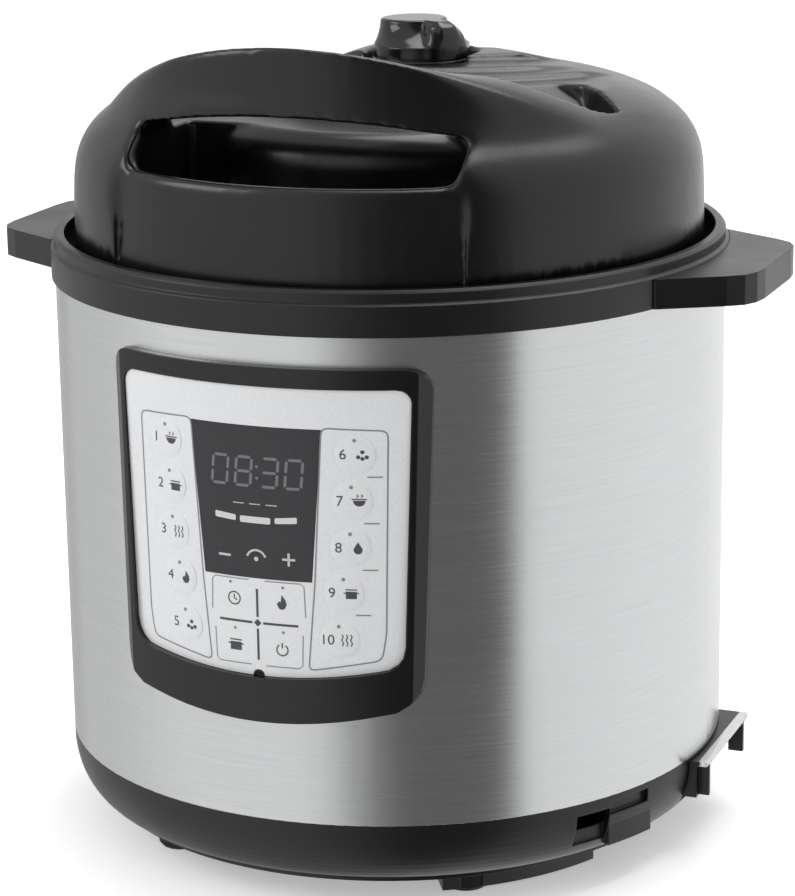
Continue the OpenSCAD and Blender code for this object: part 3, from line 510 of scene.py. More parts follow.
@dataclass(frozen=True)
class CircuitBoard(Finish):
    """Glass-fibre board under green solder resist, with copper tracks that show through it.

    Attributes:
        track_mm: Pitch of the tracks.
    """

    track_mm: float = 2.5

    def shade(self, tree: Tree) -> Node:
        """Bricks stand for the tracks, on the board's own plane."""
        axes = add_node(tree, "SeparateXYZ", {"Vector": add_node(tree, "TexCoord").outputs["Object"]})
        flat = add_node(tree, "CombineXYZ", {
            "X": axes.outputs["X"], "Y": maths(tree, "ADD", axes.outputs["Y"], axes.outputs["Z"])})
        brick = add_node(tree, "TexBrick", {
            "Vector": flat, "Color1": hex_colour("#1f5a33"), "Color2": hex_colour("#24643a"),
            "Mortar": hex_colour("#4c8a4f"), "Scale": per(self.track_mm), "Mortar Size": 0.12, "Brick Width": 3.0,
            "Row Height": 1.0})
        return add_node(tree, "BsdfPrincipled", {"Base Color": brick, "Roughness": 0.35})


class Finishes:
    """All finishes of the cooker, by what they are made of."""

    # Black ABS of the collar, handles and base, satin from a fine mould grain
    shell = MouldedPlastic("black_abs_satin", "#0c0c0d", 0.33, 1.2, 0.02, 0.8)
    # Heat-proof black polypropylene of the lid, a little glossier
    lid = MouldedPlastic("black_polypropylene_moulded", "#0a0a0b", 0.26, 1.3, 0.016, 1.0)
    # Glossier black ABS of the panel's frame
    bezel = MouldedPlastic("black_abs_gloss", "#0b0b0c", 0.24, 1.5, 0.006, 0.8)
    # Knob of nylon, with a softer sheen
    knob = MouldedPlastic("black_nylon_moulded", "#0f0f10", 0.14, 1.0, 0.012, 0.6)
    # Dark grey polypropylene of the bottom plate
    plate = MouldedPlastic("dark_grey_polypropylene", "#2b2c2e", 0.5, 1.5, 0.03, 0.5)
    # Stainless steel brushed round the body, so that reflections stretch upwards
    housing = WorkedMetal("stainless_steel_brushed", "#dcddde", 0.25, Grain.BRUSHED, 0.9, 0.003, 0.75)
    # Deep drawn and spun steel of the pot
    pot = WorkedMetal("stainless_steel_spun", "#cacbcb", 0.24, Grain.TURNED, 1.2, 0.004)
    # Pressed steel of the chamber and the lid's liner
    pressed = WorkedMetal("stainless_steel_pressed", "#b9babb", 0.34, Grain.TURNED, 2.2, 0.003)
    # Polished strip on the edge of the inlet's roof
    trim = WorkedMetal("stainless_steel_polished", "#dcdddd", 0.16, Grain.ROLLED, 0.8, 0.001)
    # Level marks that a laser etches into the pot
    etched = Coating("laser_etched_steel", "#5c5d5f", "#66676a", 0.4, 0.6)
    # Cast aluminium of the heating plate, turned on its face
    heater = WorkedMetal("aluminium_cast_turned", "#b7b8b9", 0.36, Grain.TURNED, 1.0, 0.012)
    # Zinc plated steel of the screws, the nut and the spring
    zinc = WorkedMetal("steel_zinc_plated", "#a9abad", 0.34, Grain.ROLLED, 0.6, 0.002)
    # Nickel plated brass of the inlet's blades
    brass = WorkedMetal("brass_nickel_plated", "#cbb98f", 0.3, Grain.ROLLED, 0.6, 0.002)
    # Polyester film with a silver print under it
    film = Coating("polyester_film_silver", "#f8f9fa", "#f1f2f4", 0.9, 0.34, 0.0, 0.25)
    # The same film, tinted, over the display
    window = Coating("polyester_film_tinted", "#2a2b2e", "#26272a", 2.5, 0.16, 0.0, 0.3)
    # Screen inks of the icons, the outlines and the display's marks
    ink = Coating("screen_ink_grey", "#4c4d50", "#55565a", 0.5, 0.5)
    line_ink = Coating("screen_ink_light_grey", "#8b8d90", "#94969a", 0.5, 0.5)
    mark_ink = Coating("screen_ink_white", "#d8d9da", "#cfd0d2", 0.5, 0.5)
    # Display segments, dim digits and bright bars
    digits = Coating("led_segment_dim", "#6f7073", "#66676a", 0.6, 0.4, glow=0.25)
    bars = Coating("led_segment_bright", "#cfcfcd", "#c6c6c4", 0.6, 0.4, glow=0.22)
    # Rubber of the feet, then silicone of the sealing ring
    rubber = Coating("nitrile_rubber", "#1a1a1a", "#141414", 0.9, 0.75, bump_mm=0.03)
    silicone = Coating("silicone_rubber_clear", "#dfe1df", "#d6d9d6", 6.0, 0.42, through=0.25, bump_mm=0.02)
    # Milky polypropylene of the condensation cup
    cup = Coating("polypropylene_translucent", "#e4e8ea", "#dde2e4", 8.0, 0.3, through=0.7)
    # Ceramic of the terminals and switches, white ABS of the keys, black epoxy of the components
    ceramic = Coating("steatite_ceramic", "#e6e0d2", "#d8d1c2", 0.8, 0.6, bump_mm=0.02)
    keys = Coating("abs_white", "#e9e8e4", "#e2e1dc", 1.2, 0.4, bump_mm=0.01)
    parts = Coating("epoxy_black", "#26272a", "#202124", 1.0, 0.45, bump_mm=0.01)
    board = CircuitBoard("fr4_green_resist")


CAD_FINISH: dict[str, Finish] = {node: finish for finish, nodes in (
    (Finishes.shell, "base_shell top_collar side_handle_left side_handle_right inlet_housing condensation_bracket"),
    (Finishes.plate, "bottom_plate lock_slider"),
    (Finishes.rubber, "feet"),
    (Finishes.zinc, "bottom_screws sensor_spring pressure_plate board_screws liner_screws steam_pipe pipe_nut"),
    (Finishes.housing, "steel_housing"),
    (Finishes.pressed, "pressure_chamber sensor_holder lid_liner seal_rack"),
    (Finishes.heater, "heating_plate sensor_cap"),
    (Finishes.ceramic, "heater_terminals pressure_switch thermal_fuse"),
    (Finishes.board, "power_board control_board"),
    (Finishes.parts, "power_components key_switches display_module float_valve"),
    (Finishes.brass, "inlet_pins"),
    (Finishes.bezel, "control_bezel"),
    (Finishes.film, "control_overlay"),
    (Finishes.window, "display_window"),
    (Finishes.keys, "key_plungers"),
    (Finishes.cup, "condensation_cup"),
    (Finishes.pot, "cooking_pot steam_filter float_guard"),
    (Finishes.silicone, "sealing_ring"),
    (Finishes.lid, "lid_cover"),
    (Finishes.knob, "steam_release_knob"),
) for node in nodes.split()}


# --- the printed panel


def densify(points: Sequence[Point], step: float = 2.0) -> list[Point]:
    """Adds points along a closed outline so that it can bend round the body.

    Args:
        points: Corners, in millimetres.
        step: Largest distance between points.

    Returns:
        The same outline with more points.
    """
    dense: list[Point] = []
    for (ax, az), (bx, bz) in zip(points, [*points[1:], points[0]]):
        count = max(1, math.ceil(math.hypot(bx - ax, bz - az) / step))
        dense += [(ax + (bx - ax) * i / count, az + (bz - az) * i / count) for i in range(count)]
    return dense


def rounded(points: Sequence[Point], radius: float, steps: int = 4) -> list[Point]:
    """Rounds the corners of a closed outline.

    Args:
        points: Corners, in millimetres.
        radius: Distance from a corner at which its curve starts.
        steps: Segments of a corner.

    Returns:
        The rounded outline.
    """
    curve: list[Point] = []
    for before, corner, after in zip([points[-1], *points[:-1]], points, [*points[1:], points[0]]):
        c = Vector(corner)
        toward = [(Vector(p) - c).normalized() * min(radius, (Vector(p) - c).length / 2) for p in (before, after)]
        start, end = c + toward[0], c + toward[1]
        for i in range(steps + 1):
            t = i / steps
            p = start * (1 - t) ** 2 + c * 2 * t * (1 - t) + end * t**2
            curve.append((p.x, p.y))
    return curve


def ribbon(points: Sequence[Point], width: float) -> list[Point]:
    """The outline of a stroke of one width along an open line.

    Args:
        points: The stroke's middle line, in millimetres.
        width: The stroke's width.

    Returns:
        A closed outline.
    """
    left, right = [], []
    for i, p in enumerate(points):
        a, b = Vector(points[max(0, i - 1)]), Vector(points[min(len(points) - 1, i + 1)])
        along = (b - a).normalized()
        side = Vector((-along.y, along.x)) * width / 2
        left.append((p[0] + side.x, p[1] + side.y))
        right.append((p[0] - side.x, p[1] - side.y))
    return [*left, *reversed(right)]


def arc(centre: Point, radius: float, start: float, end: float, steps: int = 12) -> list[Point]:
    """Points along an arc, in millimetres and degrees."""
    turns = [math.radians(start + (end - start) * i / steps) for i in range(steps + 1)]
    return [(centre[0] + radius * math.cos(turn), centre[1] + radius * math.sin(turn)) for turn in turns]


class Icon(Enum):
    """Plain pictures for the keys, each a few strokes in a 5 mm square."""

    BOWL = "bowl"
    POT = "pot"
    STEAM = "steam"
    FLAME = "flame"
    CLOCK = "clock"
    GRAIN = "grain"
    DROP = "drop"
    POWER = "power"

    def strokes(self) -> list[list[Point]]:
        """Closed outlines round the icon's middle, in millimetres."""
        def line(*points: Point) -> list[Point]:
            """A stroke through some points."""
            return ribbon(points, 0.45)

        match self:
            case Icon.BOWL:
                return [[*arc((0, 0.4), 2.2, 180, 360), (2.2, 0.4)], line((-2.7, 0.9), (2.7, 0.9)),
                        line((-0.8, 1.6), (-0.4, 2.1), (-0.8, 2.7)), line((0.8, 1.6), (1.2, 2.1), (0.8, 2.7))]
            case Icon.POT:
                return [[(-2, -2), (2, -2), (2, 0.8), (-2, 0.8)], line((-2.8, 0.2), (-2, 0.2)),
                        line((2, 0.2), (2.8, 0.2)), line((-2.1, 1.5), (2.1, 1.5))]
            case Icon.STEAM:
                return [line((x, -2.2), (x + 0.5, -1.1), (x - 0.2, 0.2), (x + 0.4, 1.3), (x, 2.3))
                        for x in (-1.6, 0, 1.6)]
            case Icon.FLAME:
                return [[(0, 2.6), (1.2, 1.0), (1.7, -0.6), (1.0, -2.0), (0, -2.4), (-1.0, -2.0), (-1.7, -0.6),
                         (-0.9, 0.5), (-0.4, 0.1)]]
            case Icon.CLOCK:
                return [line(*arc((0, 0), 2.1, 0, 359, 28)), line((0, 1.3), (0, 0), (1.0, -0.6))]
            case Icon.GRAIN:
                return [arc((x, z), 0.75, 0, 340, 12) for x, z in ((-1.5, -0.8), (0, 1.1), (1.5, -0.8), (0, -1.4))]
            case Icon.DROP:
                return [[(0, 2.4), (1.3, 0.3), *arc((0, -0.6), 1.6, 20, -200, 14), (-1.3, 0.3)]]
            case Icon.POWER:
                return [line(*arc((0, -0.2), 1.9, 125, 415, 24)), line((0, 0.4), (0, 2.2))]


@dataclass
class PanelPrint:
    """The print on the control film: outlines, key icons and numbers, and the lit display behind the window.

    Attributes:
        drum_r: Radius of the film's face, in metres.
        lift: Height of the ink over the film.
        raised: Raised key tops that the print also covers.
        column_line: Corners of the left column's outline, in millimetres, mirrored for the right one.
        key_z: Heights of the column keys.
        key_x: Distance of the column keys from the middle, from the top down.
    """

    drum_r: float
    lift: float = 0.06 * MM
    raised: Obj | None = None
    column_line: list[Point] = field(default_factory=lambda: [
        (-25.8, 193.6), (-49.9, 192.8), (-48.3, 115.0), (-46.6, 104.6), (-19.4, 99.8), (-22.4, 134.4)])
    key_z: list[float] = field(default_factory=lambda: [183.6, 166.0, 148.2, 130.8, 112.6])
    key_x: list[float] = field(default_factory=lambda: [38.0, 36.6, 35.9, 33.2, 31.2])

    def plate(self, points: Sequence[Point]) -> Obj:
        """One flat face with a given outline, standing in front of the film.

        Args:
            points: A closed outline in millimetres.

        Returns:
            The face as an object.
        """
        dense = densify(points)
        obj = primitive(bpy.ops.mesh.primitive_circle_add, "ink", vertices=len(dense), radius=1.0, fill_type="NGON")
        for vertex, (x, z) in zip(obj.data.vertices, dense):
            vertex.co = (x * MM, -self.drum_r - 5 * MM, z * MM)
        return obj

    def line(self, points: Sequence[Point], width: float) -> Obj:
        """A stroke of one width along an open line."""
        return self.plate(ribbon(points, width))

    def dot(self, x: float, z: float, radius: float) -> Obj:
        """A small round mark."""
        return self.plate(arc((x, z), radius, 0, 330, 10))

    def picture(self, icon: Icon, x: float, z: float, size: float = 1.0) -> list[Obj]:
        """An icon's strokes round a place on the film."""
        return [self.plate([(x + px * size, z + pz * size) for px, pz in stroke]) for stroke in icon.strokes()]

    def frame_line(self, points: Sequence[Point], width: float) -> Obj:
        """A closed line of one width: a face inset by the width, with its middle taken out."""
        obj = self.plate(points)
        with editing(obj, everything=True):
            bpy.ops.mesh.inset(thickness=width * MM, use_even_offset=True)
            bpy.ops.mesh.delete(type="FACE")
        return obj

    def glyph(self, text: str, centre: Point, height: float) -> Obj:
        """A number as a flat mesh.

        Args:
            text: The number.
            centre: Its middle, in millimetres.
            height: Its height, in millimetres.

        Returns:
            The number as a mesh.
        """
        place = (centre[0] * MM, -self.drum_r - 5 * MM, centre[1] * MM)
        obj = primitive(bpy.ops.object.text_add, "ink", location=place, rotation=(math.pi / 2, 0, 0))
        obj.data.body = text
        obj.data.size = height * MM * 1.4
        obj.data.align_x, obj.data.align_y = "CENTER", "CENTER"
        activate(obj)
        bpy.ops.object.convert(target="MESH")
        return settle(bpy.context.object)

    def press(self, plates: Sequence[Obj], name: str, finish: Finish, lift: float = 0.0) -> Obj:
        """Joins flat plates, lays them on the film's curve and gives them the ink's thickness.

        Args:
            plates: Flat plates in front of the film.
            name: The piece's name.
            finish: Its finish.
            lift: Extra height over the film.

        Returns:
            The printed piece.
        """
        ink = join(plates, name)
        drum = primitive(bpy.ops.mesh.primitive_cylinder_add, "drum", vertices=720, radius=self.drum_r, depth=0.3,
                         location=(0, 0, 0.15))
        if self.raised:
            drum = join([drum, copy_of(self.raised, Matrix())], "drum")
        with editing(ink, everything=True):
            bpy.ops.mesh.quads_convert_to_tris()
            bpy.ops.mesh.subdivide(number_cuts=1)
        apply_modifier(ink, "SHRINKWRAP", target=drum, wrap_method="PROJECT", use_project_y=True, use_project_x=False,
                       use_project_z=False, use_positive_direction=True, use_negative_direction=False)
        bpy.data.objects.remove(drum)
        for vertex in ink.data.vertices:
            outward = Vector((vertex.co.x, vertex.co.y, 0)).normalized()
            vertex.co += outward * (self.lift + lift)
        with editing(ink, everything=True):
            bpy.ops.mesh.normals_make_consistent(inside=False)
            pick_faces(ink, lambda centre, normal: normal.y > 0)
            bpy.ops.mesh.flip_normals()
        dress(ink, finish.make(), "cooker")
        return ink

    def key_pictures(self) -> list[Obj]:
        """Numbers and icons on the ten column keys and the four middle ones."""
        left = [Icon.BOWL, Icon.POT, Icon.STEAM, Icon.FLAME, Icon.GRAIN]
        right = [Icon.GRAIN, Icon.BOWL, Icon.DROP, Icon.POT, Icon.STEAM]
        middle = ((Icon.CLOCK, -9.4, 125.8), (Icon.FLAME, 9.8, 125.8),
                  (Icon.POT, -9.2, 107.8), (Icon.POWER, 9.6, 107.6))
        plates = []
        for i, (z, x) in enumerate(zip(self.key_z, self.key_x)):
            for side, icon, number in ((-1, left[i], i + 1), (1, right[i], i + 6)):
                plates.append(self.glyph(str(number), (side * x - 4.2, z), 3.9))
                plates += self.picture(icon, side * x + 2.8, z)
        for icon, x, z in middle:
            plates += self.picture(icon, x, z, 1.15)
        return plates

    def key_lines(self) -> list[Obj]:
        """Outlines of the columns and middle keys, small lamps' marks and dashes between the keys."""
        mirrored = [(-x, z) for x, z in self.column_line]
        plates = [self.frame_line(rounded(side, 3.0), 0.55) for side in (self.column_line, mirrored)]
        corner = [(-18.9, 120.6), (-18.5, 132.4), (-17.2, 133.6), (-3.2, 133.6)]
        # The lower corners mirror the upper ones about the cross, and stand a little closer
        twice_cross, closer = 234.2, 0.94
        for sx in (-1, 1):
            plates.append(self.line([(sx * x, z) for x, z in corner], 0.4))
            plates.append(self.line([(sx * x * closer, twice_cross - z) for x, z in corner], 0.4))
        plates += [self.dot(side * x, z + 5.4, 0.7) for z, x in zip(self.key_z, self.key_x) for side in (-1, 1)]
        plates += [self.dot(x, z, 0.6) for x, z in ((-10.9, 132.0), (10.3, 131.6), (-9.4, 114.2), (10.1, 114.2))]
        plates += [self.line([(x + 4.2, z - 8.4), (x + 9.6, z - 8.4)], 0.5)
                   for z, x in zip(self.key_z[:-1], self.key_x)]
        return plates

    def cross(self) -> list[Obj]:
        """The dark cross between the four middle keys."""
        strokes = [[(0, 130.3), (0, 119.4)], [(0, 114.8), (0, 102.6)], [(-15.8, 117.1), (-2.2, 117.1)],
                   [(2.2, 117.1), (16.0, 117.1)]]
        return [*(self.line(stroke, 0.9) for stroke in strokes),
                self.plate([(-1.5, 117.1), (0, 118.6), (1.5, 117.1), (0, 115.6)])]

    def digit(self, value: str, centre: Point, width: float = 6.2, height: float = 10.8) -> list[Obj]:
        """The lit segments of one display digit.

        Args:
            value: One of the characters that the display shows: 0, 3 or 8.
            centre: The digit's middle, in millimetres.
            width: Its width.
            height: Its height.

        Returns:
            One plate for each lit segment.
        """
        lit = {"0": "abcdef", "3": "abgcd", "8": "abcdefg"}[value]
        w, h, t, gap = width / 2, height / 2, 0.55, 0.35
        ends = {"a": ((-w, h), (w, h)), "b": ((w, h), (w, 0)), "c": ((w, 0), (w, -h)), "d": ((-w, -h), (w, -h)),
                "e": ((-w, 0), (-w, -h)), "f": ((-w, h), (-w, 0)), "g": ((-w, 0), (w, 0))}
        plates = []
        for name in lit:
            (ax, az), (bx, bz) = ends[name]
            start, end = Vector((ax, az)), Vector((bx, bz))
            along = (end - start).normalized()
            side = Vector((-along.y, along.x)) * t
            start, end = start + along * gap, end - along * gap
            inner, outer = start + along * t, end - along * t
            shape = [start, inner + side, outer + side, end, outer - side, inner - side]
            plates.append(self.plate([(centre[0] + p.x + 0.09 * p.y, centre[1] + p.y) for p in shape]))
        return plates

    def build(self) -> None:
        """Makes all the prints and the display."""
        self.press(self.key_pictures(), "panel_key_icons", Finishes.ink)
        self.press(self.key_lines(), "panel_outlines", Finishes.line_ink)
        self.press(self.cross(), "panel_cross", Finishes.ink)
        digits = []
        for value, x in zip("0830", (-13.8, -4.2, 6.2, 15.6)):
            digits += self.digit(value, (x, 175.2))
        digits += [self.dot(1.2, z, 0.6) for z in (172.9, 177.3)]
        self.press(digits, "display_digits", Finishes.digits)
        bars = [[(-16.4, 159.0), (-7.8, 158.2), (-7.8, 156.0), (-16.4, 156.6)],
                [(-6.1, 158.1), (6.1, 158.1), (6.1, 155.6), (-6.1, 155.6)],
                [(7.8, 158.2), (16.4, 159.0), (16.4, 156.6), (7.8, 156.0)]]
        self.press([self.plate(rounded(b, 0.6)) for b in bars], "display_bars", Finishes.bars)
        marks = [self.line([(-15.4, 142.3), (-10.4, 142.3)], 0.9), self.line([(10.4, 142.6), (15.4, 142.6)], 0.9),
                 self.line([(12.9, 140.1), (12.9, 145.1)], 0.9), self.line(arc((0.1, 141.4), 3.9, 20, 160), 0.8),
                 self.dot(0.1, 141.9, 0.9),
                 *(self.line([(x - 2.2, 162.9), (x + 2.2, 162.9)], 0.35) for x in (-6.6, 0, 6.6))]
        self.press(marks, "display_marks", Finishes.mark_ink)


@dataclass
class KeyDomes:
    """Embossed key tops in the film, raised by a third of a millimetre.

    Attributes:
        drum_r: Radius of the film's face.
        places: Centre of each key, in millimetres.
        radius: Radius of the raised area, in millimetres.
        height: Its height, in millimetres.
    """

    drum_r: float
    places: list[Point]
    radius: float = 7.6
    height: float = 0.42

    def build(self) -> Obj:
        """Models one dome by inset steps and lays a copy on each key.

        Returns:
            All the key tops as one piece.
        """
        dome = primitive(bpy.ops.mesh.primitive_circle_add, "key_domes", vertices=40, radius=self.radius * MM,
                         fill_type="NGON")
        with editing(dome):
            for share, rise in ((0.14, 0.55), (0.16, 0.3), (0.3, 0.15)):
                bpy.ops.mesh.select_all(action="DESELECT")
                pick_faces(dome, lambda centre, normal: centre.xy.length < 0.2 * MM and normal.z > 0.9)
                bpy.ops.mesh.inset(thickness=share * self.radius * MM)
                bpy.ops.transform.translate(value=(0, 0, rise * self.height * MM))
        domes = []
        for x, z in self.places:
            angle = math.asin(x * MM / self.drum_r)
            turn = Matrix.Rotation(angle, 4, "Z") @ Matrix.Translation((0, -self.drum_r + 0.05 * MM, z * MM))
            domes.append(copy_of(dome, turn @ Matrix.Rotation(math.radians(90), 4, "X")))
        bpy.data.objects.remove(dome)
        piece = join(domes, "panel_key_domes")
        dress(piece, Finishes.film.make(), "cooker", smooth=60)
        return piece


# --- the lid


def ring(inner: float, outer: Point, heights: Point) -> Obj:
    """A ring round the axis, whose outside may be conical.

    Args:
        inner: Inner radius, in millimetres.
        outer: Outer radius at its foot and at its top.
        heights: Its foot and its top.

    Returns:
        The ring.
    """
    place = (0, 0, (heights[0] + heights[1]) / 2 * MM)
    tall = (heights[1] - heights[0]) * MM
    body = settle(primitive(bpy.ops.mesh.primitive_cone_add, "ring", vertices=256, radius1=outer[0] * MM,
                            radius2=outer[1] * MM, depth=tall, location=place))
    bore = settle(primitive(bpy.ops.mesh.primitive_cylinder_add, "bore", vertices=256, radius=inner * MM,
                            depth=tall * 1.1, location=place))
    return carve(body, bore, "DIFFERENCE")


def carve(obj: Obj, tool: Obj, operation: str) -> Obj:
    """Cuts an object with a tool, which is used up.

    Args:
        obj: The object.
        tool: What it is cut with.
        operation: DIFFERENCE or INTERSECT.

    Returns:
        The same object.
    """
    apply_modifier(obj, "BOOLEAN", object=tool, operation=operation, solver="EXACT")
    bpy.data.objects.remove(tool)
    return obj


def trim(obj: Obj, low: Corner, high: Corner) -> Obj:
    """Keeps what lies in a box, given by its two corners in millimetres."""
    return carve(obj, box_between("keep", low, high), "INTERSECT")


def ease(value: float, low: float, high: float) -> float:
    """Rises smoothly from 0 at low to 1 at high."""
    share = min(max((value - low) / (high - low), 0.0), 1.0)
    return share * share * (3 - 2 * share)


@dataclass
class LidCover:
    """The moulded lid: thick round lips, and edges that fade where the arch runs into the dome.

    Attributes:
        voxel_mm: Size of the facets of the new skin.
        passes: Rounds of smoothing, which set how wide the edges are rounded.
        long_passes: More rounds for the two ends of the arch.
        crisp_below: Height under which the skirt keeps its edges, in millimetres.
        grip_half_w: Half the width of the finger opening.
        bar_arc: Centre and radius of the arc of the arch's back face.
        arch_face_r: Radius of the arch's front edge.
        arch_top: Height of the arch and radius of its curve.
        deck_z: Height of the deck behind it.
        slope: Fall of its top towards the back.
        side_fall: How far the deck falls at the left of the knob, in millimetres.
    """

    voxel_mm: float = 1.0
    passes: int = 18
    long_passes: int = 180
    crisp_below: float = 252.0
    grip_half_w: float = 66.0
    bar_arc: Point = (36.7, 116.7)
    arch_face_r: float = 105.0
    arch_top: Point = (326.4, 172.0)
    deck_z: float = 306.0
    slope: float = 0.32
    side_fall: float = 5.0

    def backing(self) -> list[Obj]:
        """Rings inside the lid that make its front lip as thick as it looks and close the thinnest walls."""
        near, wide, inner = self.grip_half_w + 5.6, self.grip_half_w + 14, 112.5
        lip = trim(ring(inner, (120.6, 120.6), (249.9, 277.4)), (-wide, -130, 240), (wide, -60, 290))
        pillars = [trim(ring(inner, (123.2, 121.2), (249.9, 277.8)), (left, -130, 240), (right, -60, 290))
                   for left, right in ((-wide, -near), (near, wide))]
        return [ring(121.0, (122.9, 122.9), (231.6, 250.6)), lip, *pillars]

    def reach(self, place: Vector) -> float:
        """Distance in front of the arch's back face, in millimetres."""
        return math.hypot(place.x, place.y - self.bar_arc[0] * MM) / MM - self.bar_arc[1]

    def fading(self, place: Vector) -> float:
        """How much of the long smoothing a point takes: much at the arch's ends and on the lip of the opening."""
        x, y, z = (c / MM for c in place)
        ends = ease(abs(x), 48, 80) * ease(self.reach(place), 0.5, 6) * ease(z, 256, 266)
        lip = ease(z, 262, 272) * ease(-z, -282, -279) * 0.35 + ease(z, 293, 297) * ease(-z, -308, -303) * 0.16
        return max(ends, lip * ease(math.hypot(x, y), 103, 108) * ease(-y, 78, 88) * ease(-abs(x), -63, -56))

    def slope_back(self, place: Vector) -> None:
        """Lowers the arch's top towards its back, so that it falls away behind its front edge."""
        x, y, z = (c / MM for c in place)
        depth = self.arch_face_r - math.hypot(x, y)
        if z > self.deck_z and depth > 1.5 and self.reach(place) > -0.8:
            top = self.arch_top[0] - self.arch_top[1] + math.sqrt(self.arch_top[1] ** 2 - x * x)
            share = min((z - self.deck_z) / max(top - self.deck_z, 3.0), 1.0)
            place.z -= self.slope * (depth - 1.5) * share * ease(-abs(x), -76, -40) * MM
        elif z > self.deck_z - 14 and self.reach(place) < -0.8:
            place.z -= self.side_fall * ease(-x, 24, 44) * ease(z, self.deck_z - 14, self.deck_z - 4) * MM

    def build(self, node: Obj) -> None:
        """Skins a copy of the solid anew and smooths it.

        Args:
            node: The solid lid.
        """
        lid = copy_of(node, Matrix())
        with editing(lid, "VERT", everything=True):
            bpy.ops.mesh.remove_doubles(threshold=0.01 * MM)
        lid = join([lid, *self.backing()], "lid_cover_moulded")
        apply_modifier(lid, "REMESH", mode="VOXEL", voxel_size=self.voxel_mm * MM, adaptivity=0.0)
        upper, fade = (lid.vertex_groups.new(name=name) for name in ("upper", "fade"))
        for vertex in lid.data.vertices:
            self.slope_back(vertex.co)
            if vertex.co.z > self.crisp_below * MM:
                upper.add([vertex.index], 1.0, "REPLACE")
                share = self.fading(vertex.co)
                if share > 0.01:
                    fade.add([vertex.index], share, "REPLACE")
        apply_modifier(lid, "SMOOTH", factor=0.5, iterations=self.passes, vertex_group="upper")
        apply_modifier(lid, "SMOOTH", factor=0.5, iterations=self.long_passes, vertex_group="fade")
        apply_modifier(lid, "DECIMATE", ratio=0.3)
        dress(lid, Finishes.lid.make(), "lid", smooth=60)
        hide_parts("lid_cover")


@dataclass
class ReleaseKnob:
    """Steam release knob: a round skirt, a drum at its back, and a bar with scooped flanks that ends in a round nose.

    Attributes:
        centre: Axis of the knob, in millimetres.
        low: Height of its underside.
        height: Its height.
        skirt_r: Radius of its skirt.
        foot_r: Radius of the drum over the skirt.
        toward: Direction of the nose.
        disc: How far back the round part of its top lies, and its radius.
        bar: Reach of the nose and half the bar's width.
        shares: Where top, flanks and skirt end, as shares of the way from the top to the underside.
        edge_r: Radius of the top's edge.
    """

    centre: Point = (0.0, 38.0)
    low: float = 301.1
    height: float = 19.0
    skirt_r: float = 20.4
    foot_r: float = 19.4
    toward: Point = (0.853, -0.522)
    disc: Point = (5.2, 13.6)
    bar: Point = (15.5, 3.4)
    shares: Corner = (0.22, 0.8, 0.9)
    edge_r: float = 0.9

    def top_r(self, turn: float) -> float:
        """Outline of the flat top, by the angle from the nose: a disc at the back and a bar to the nose."""
        (back, radius), (reach, half_w), least = self.disc, self.bar, 0.05
        disc = -back * math.cos(turn) + math.sqrt(radius ** 2 - (back * math.sin(turn)) ** 2)
        bar = 0.0
        if math.cos(turn) > 0:
            bar = min(reach / max(math.cos(turn), least), half_w / max(abs(math.sin(turn)), least))
        return (disc ** 6 + bar ** 6) ** (1 / 6)

    def flank(self, turn: float, depth: float) -> Point:
        """Radius and height of the side, by the angle from the nose and the share of the way down."""
        # The curve ends at this share of the way down, and the nose fades into the scoops over these degrees
        curve_share, nose_half, nose_fade = 0.62, math.radians(37), math.radians(13)
        upper = min(depth / curve_share, 1.0)
        nose = min(max((nose_half - abs(turn)) / nose_fade, 0.0), 1.0)
        nose = nose * nose * (3 - 2 * nose)
        scooped, domed = upper ** 1.7, math.sqrt(1 - (1 - upper) ** 2)
        foot = self.foot_r + 0.9 * nose
        radius = self.top_r(turn) + (foot - self.top_r(turn)) * (domed * nose + scooped * (1 - nose))
        return radius, self.height - self.edge_r - depth * (self.height - 4.4)

    def build(self) -> None:
        """Bends a sphere's rings into the knob's top, flanks, skirt and underside."""
        knob = primitive(bpy.ops.mesh.primitive_uv_sphere_add, "steam_release_knob_moulded", segments=144,
                         ring_count=96, radius=1.0, location=(0, 0, 0))
        top, side, skirt = self.shares
        # Lengths of the flanks and of the skirt, as such shares
        side_span, skirt_span = 0.58, 0.1
        for vertex in knob.data.vertices:
            turn = math.atan2(vertex.co.y, vertex.co.x)
            share = math.acos(max(-1.0, min(1.0, vertex.co.z))) / math.pi
            if share < top:
                out = share / top
                edge = max(out - 0.88, 0.0) / 0.12
                radius = self.top_r(turn) * out
                high = self.height - self.edge_r * (1 - math.sqrt(max(1 - edge * edge, 0.0)))
            elif share < side:
                radius, high = self.flank(turn, (share - top) / side_span)
            elif share < skirt:
                step = (share - side) / skirt_span
                radius = self.flank(turn, 1.0)[0]
                if step > 0.02:
                    radius = self.foot_r + (self.skirt_r - self.foot_r) * min(step * 2, 1.0)
                high = 3.6 - 0.9 * max(step * 2 - 0.6, 0.0) - 1.8 * max(step - 0.6, 0.0)
            else:
                radius, high = self.skirt_r * (1 - share) / skirt_span, 0.0
            vertex.co = Vector((radius * math.cos(turn), radius * math.sin(turn), high)) * MM
        apply_modifier(knob, "SMOOTH", factor=0.5, iterations=3)
        turn = Matrix.Rotation(math.atan2(self.toward[1], self.toward[0]), 4, "Z")
        knob.data.transform(Matrix.Translation((self.centre[0] * MM, self.centre[1] * MM, self.low * MM)) @ turn)
        dress(knob, Finishes.knob.make(), "knob", smooth=50)
        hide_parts("steam_release_knob")


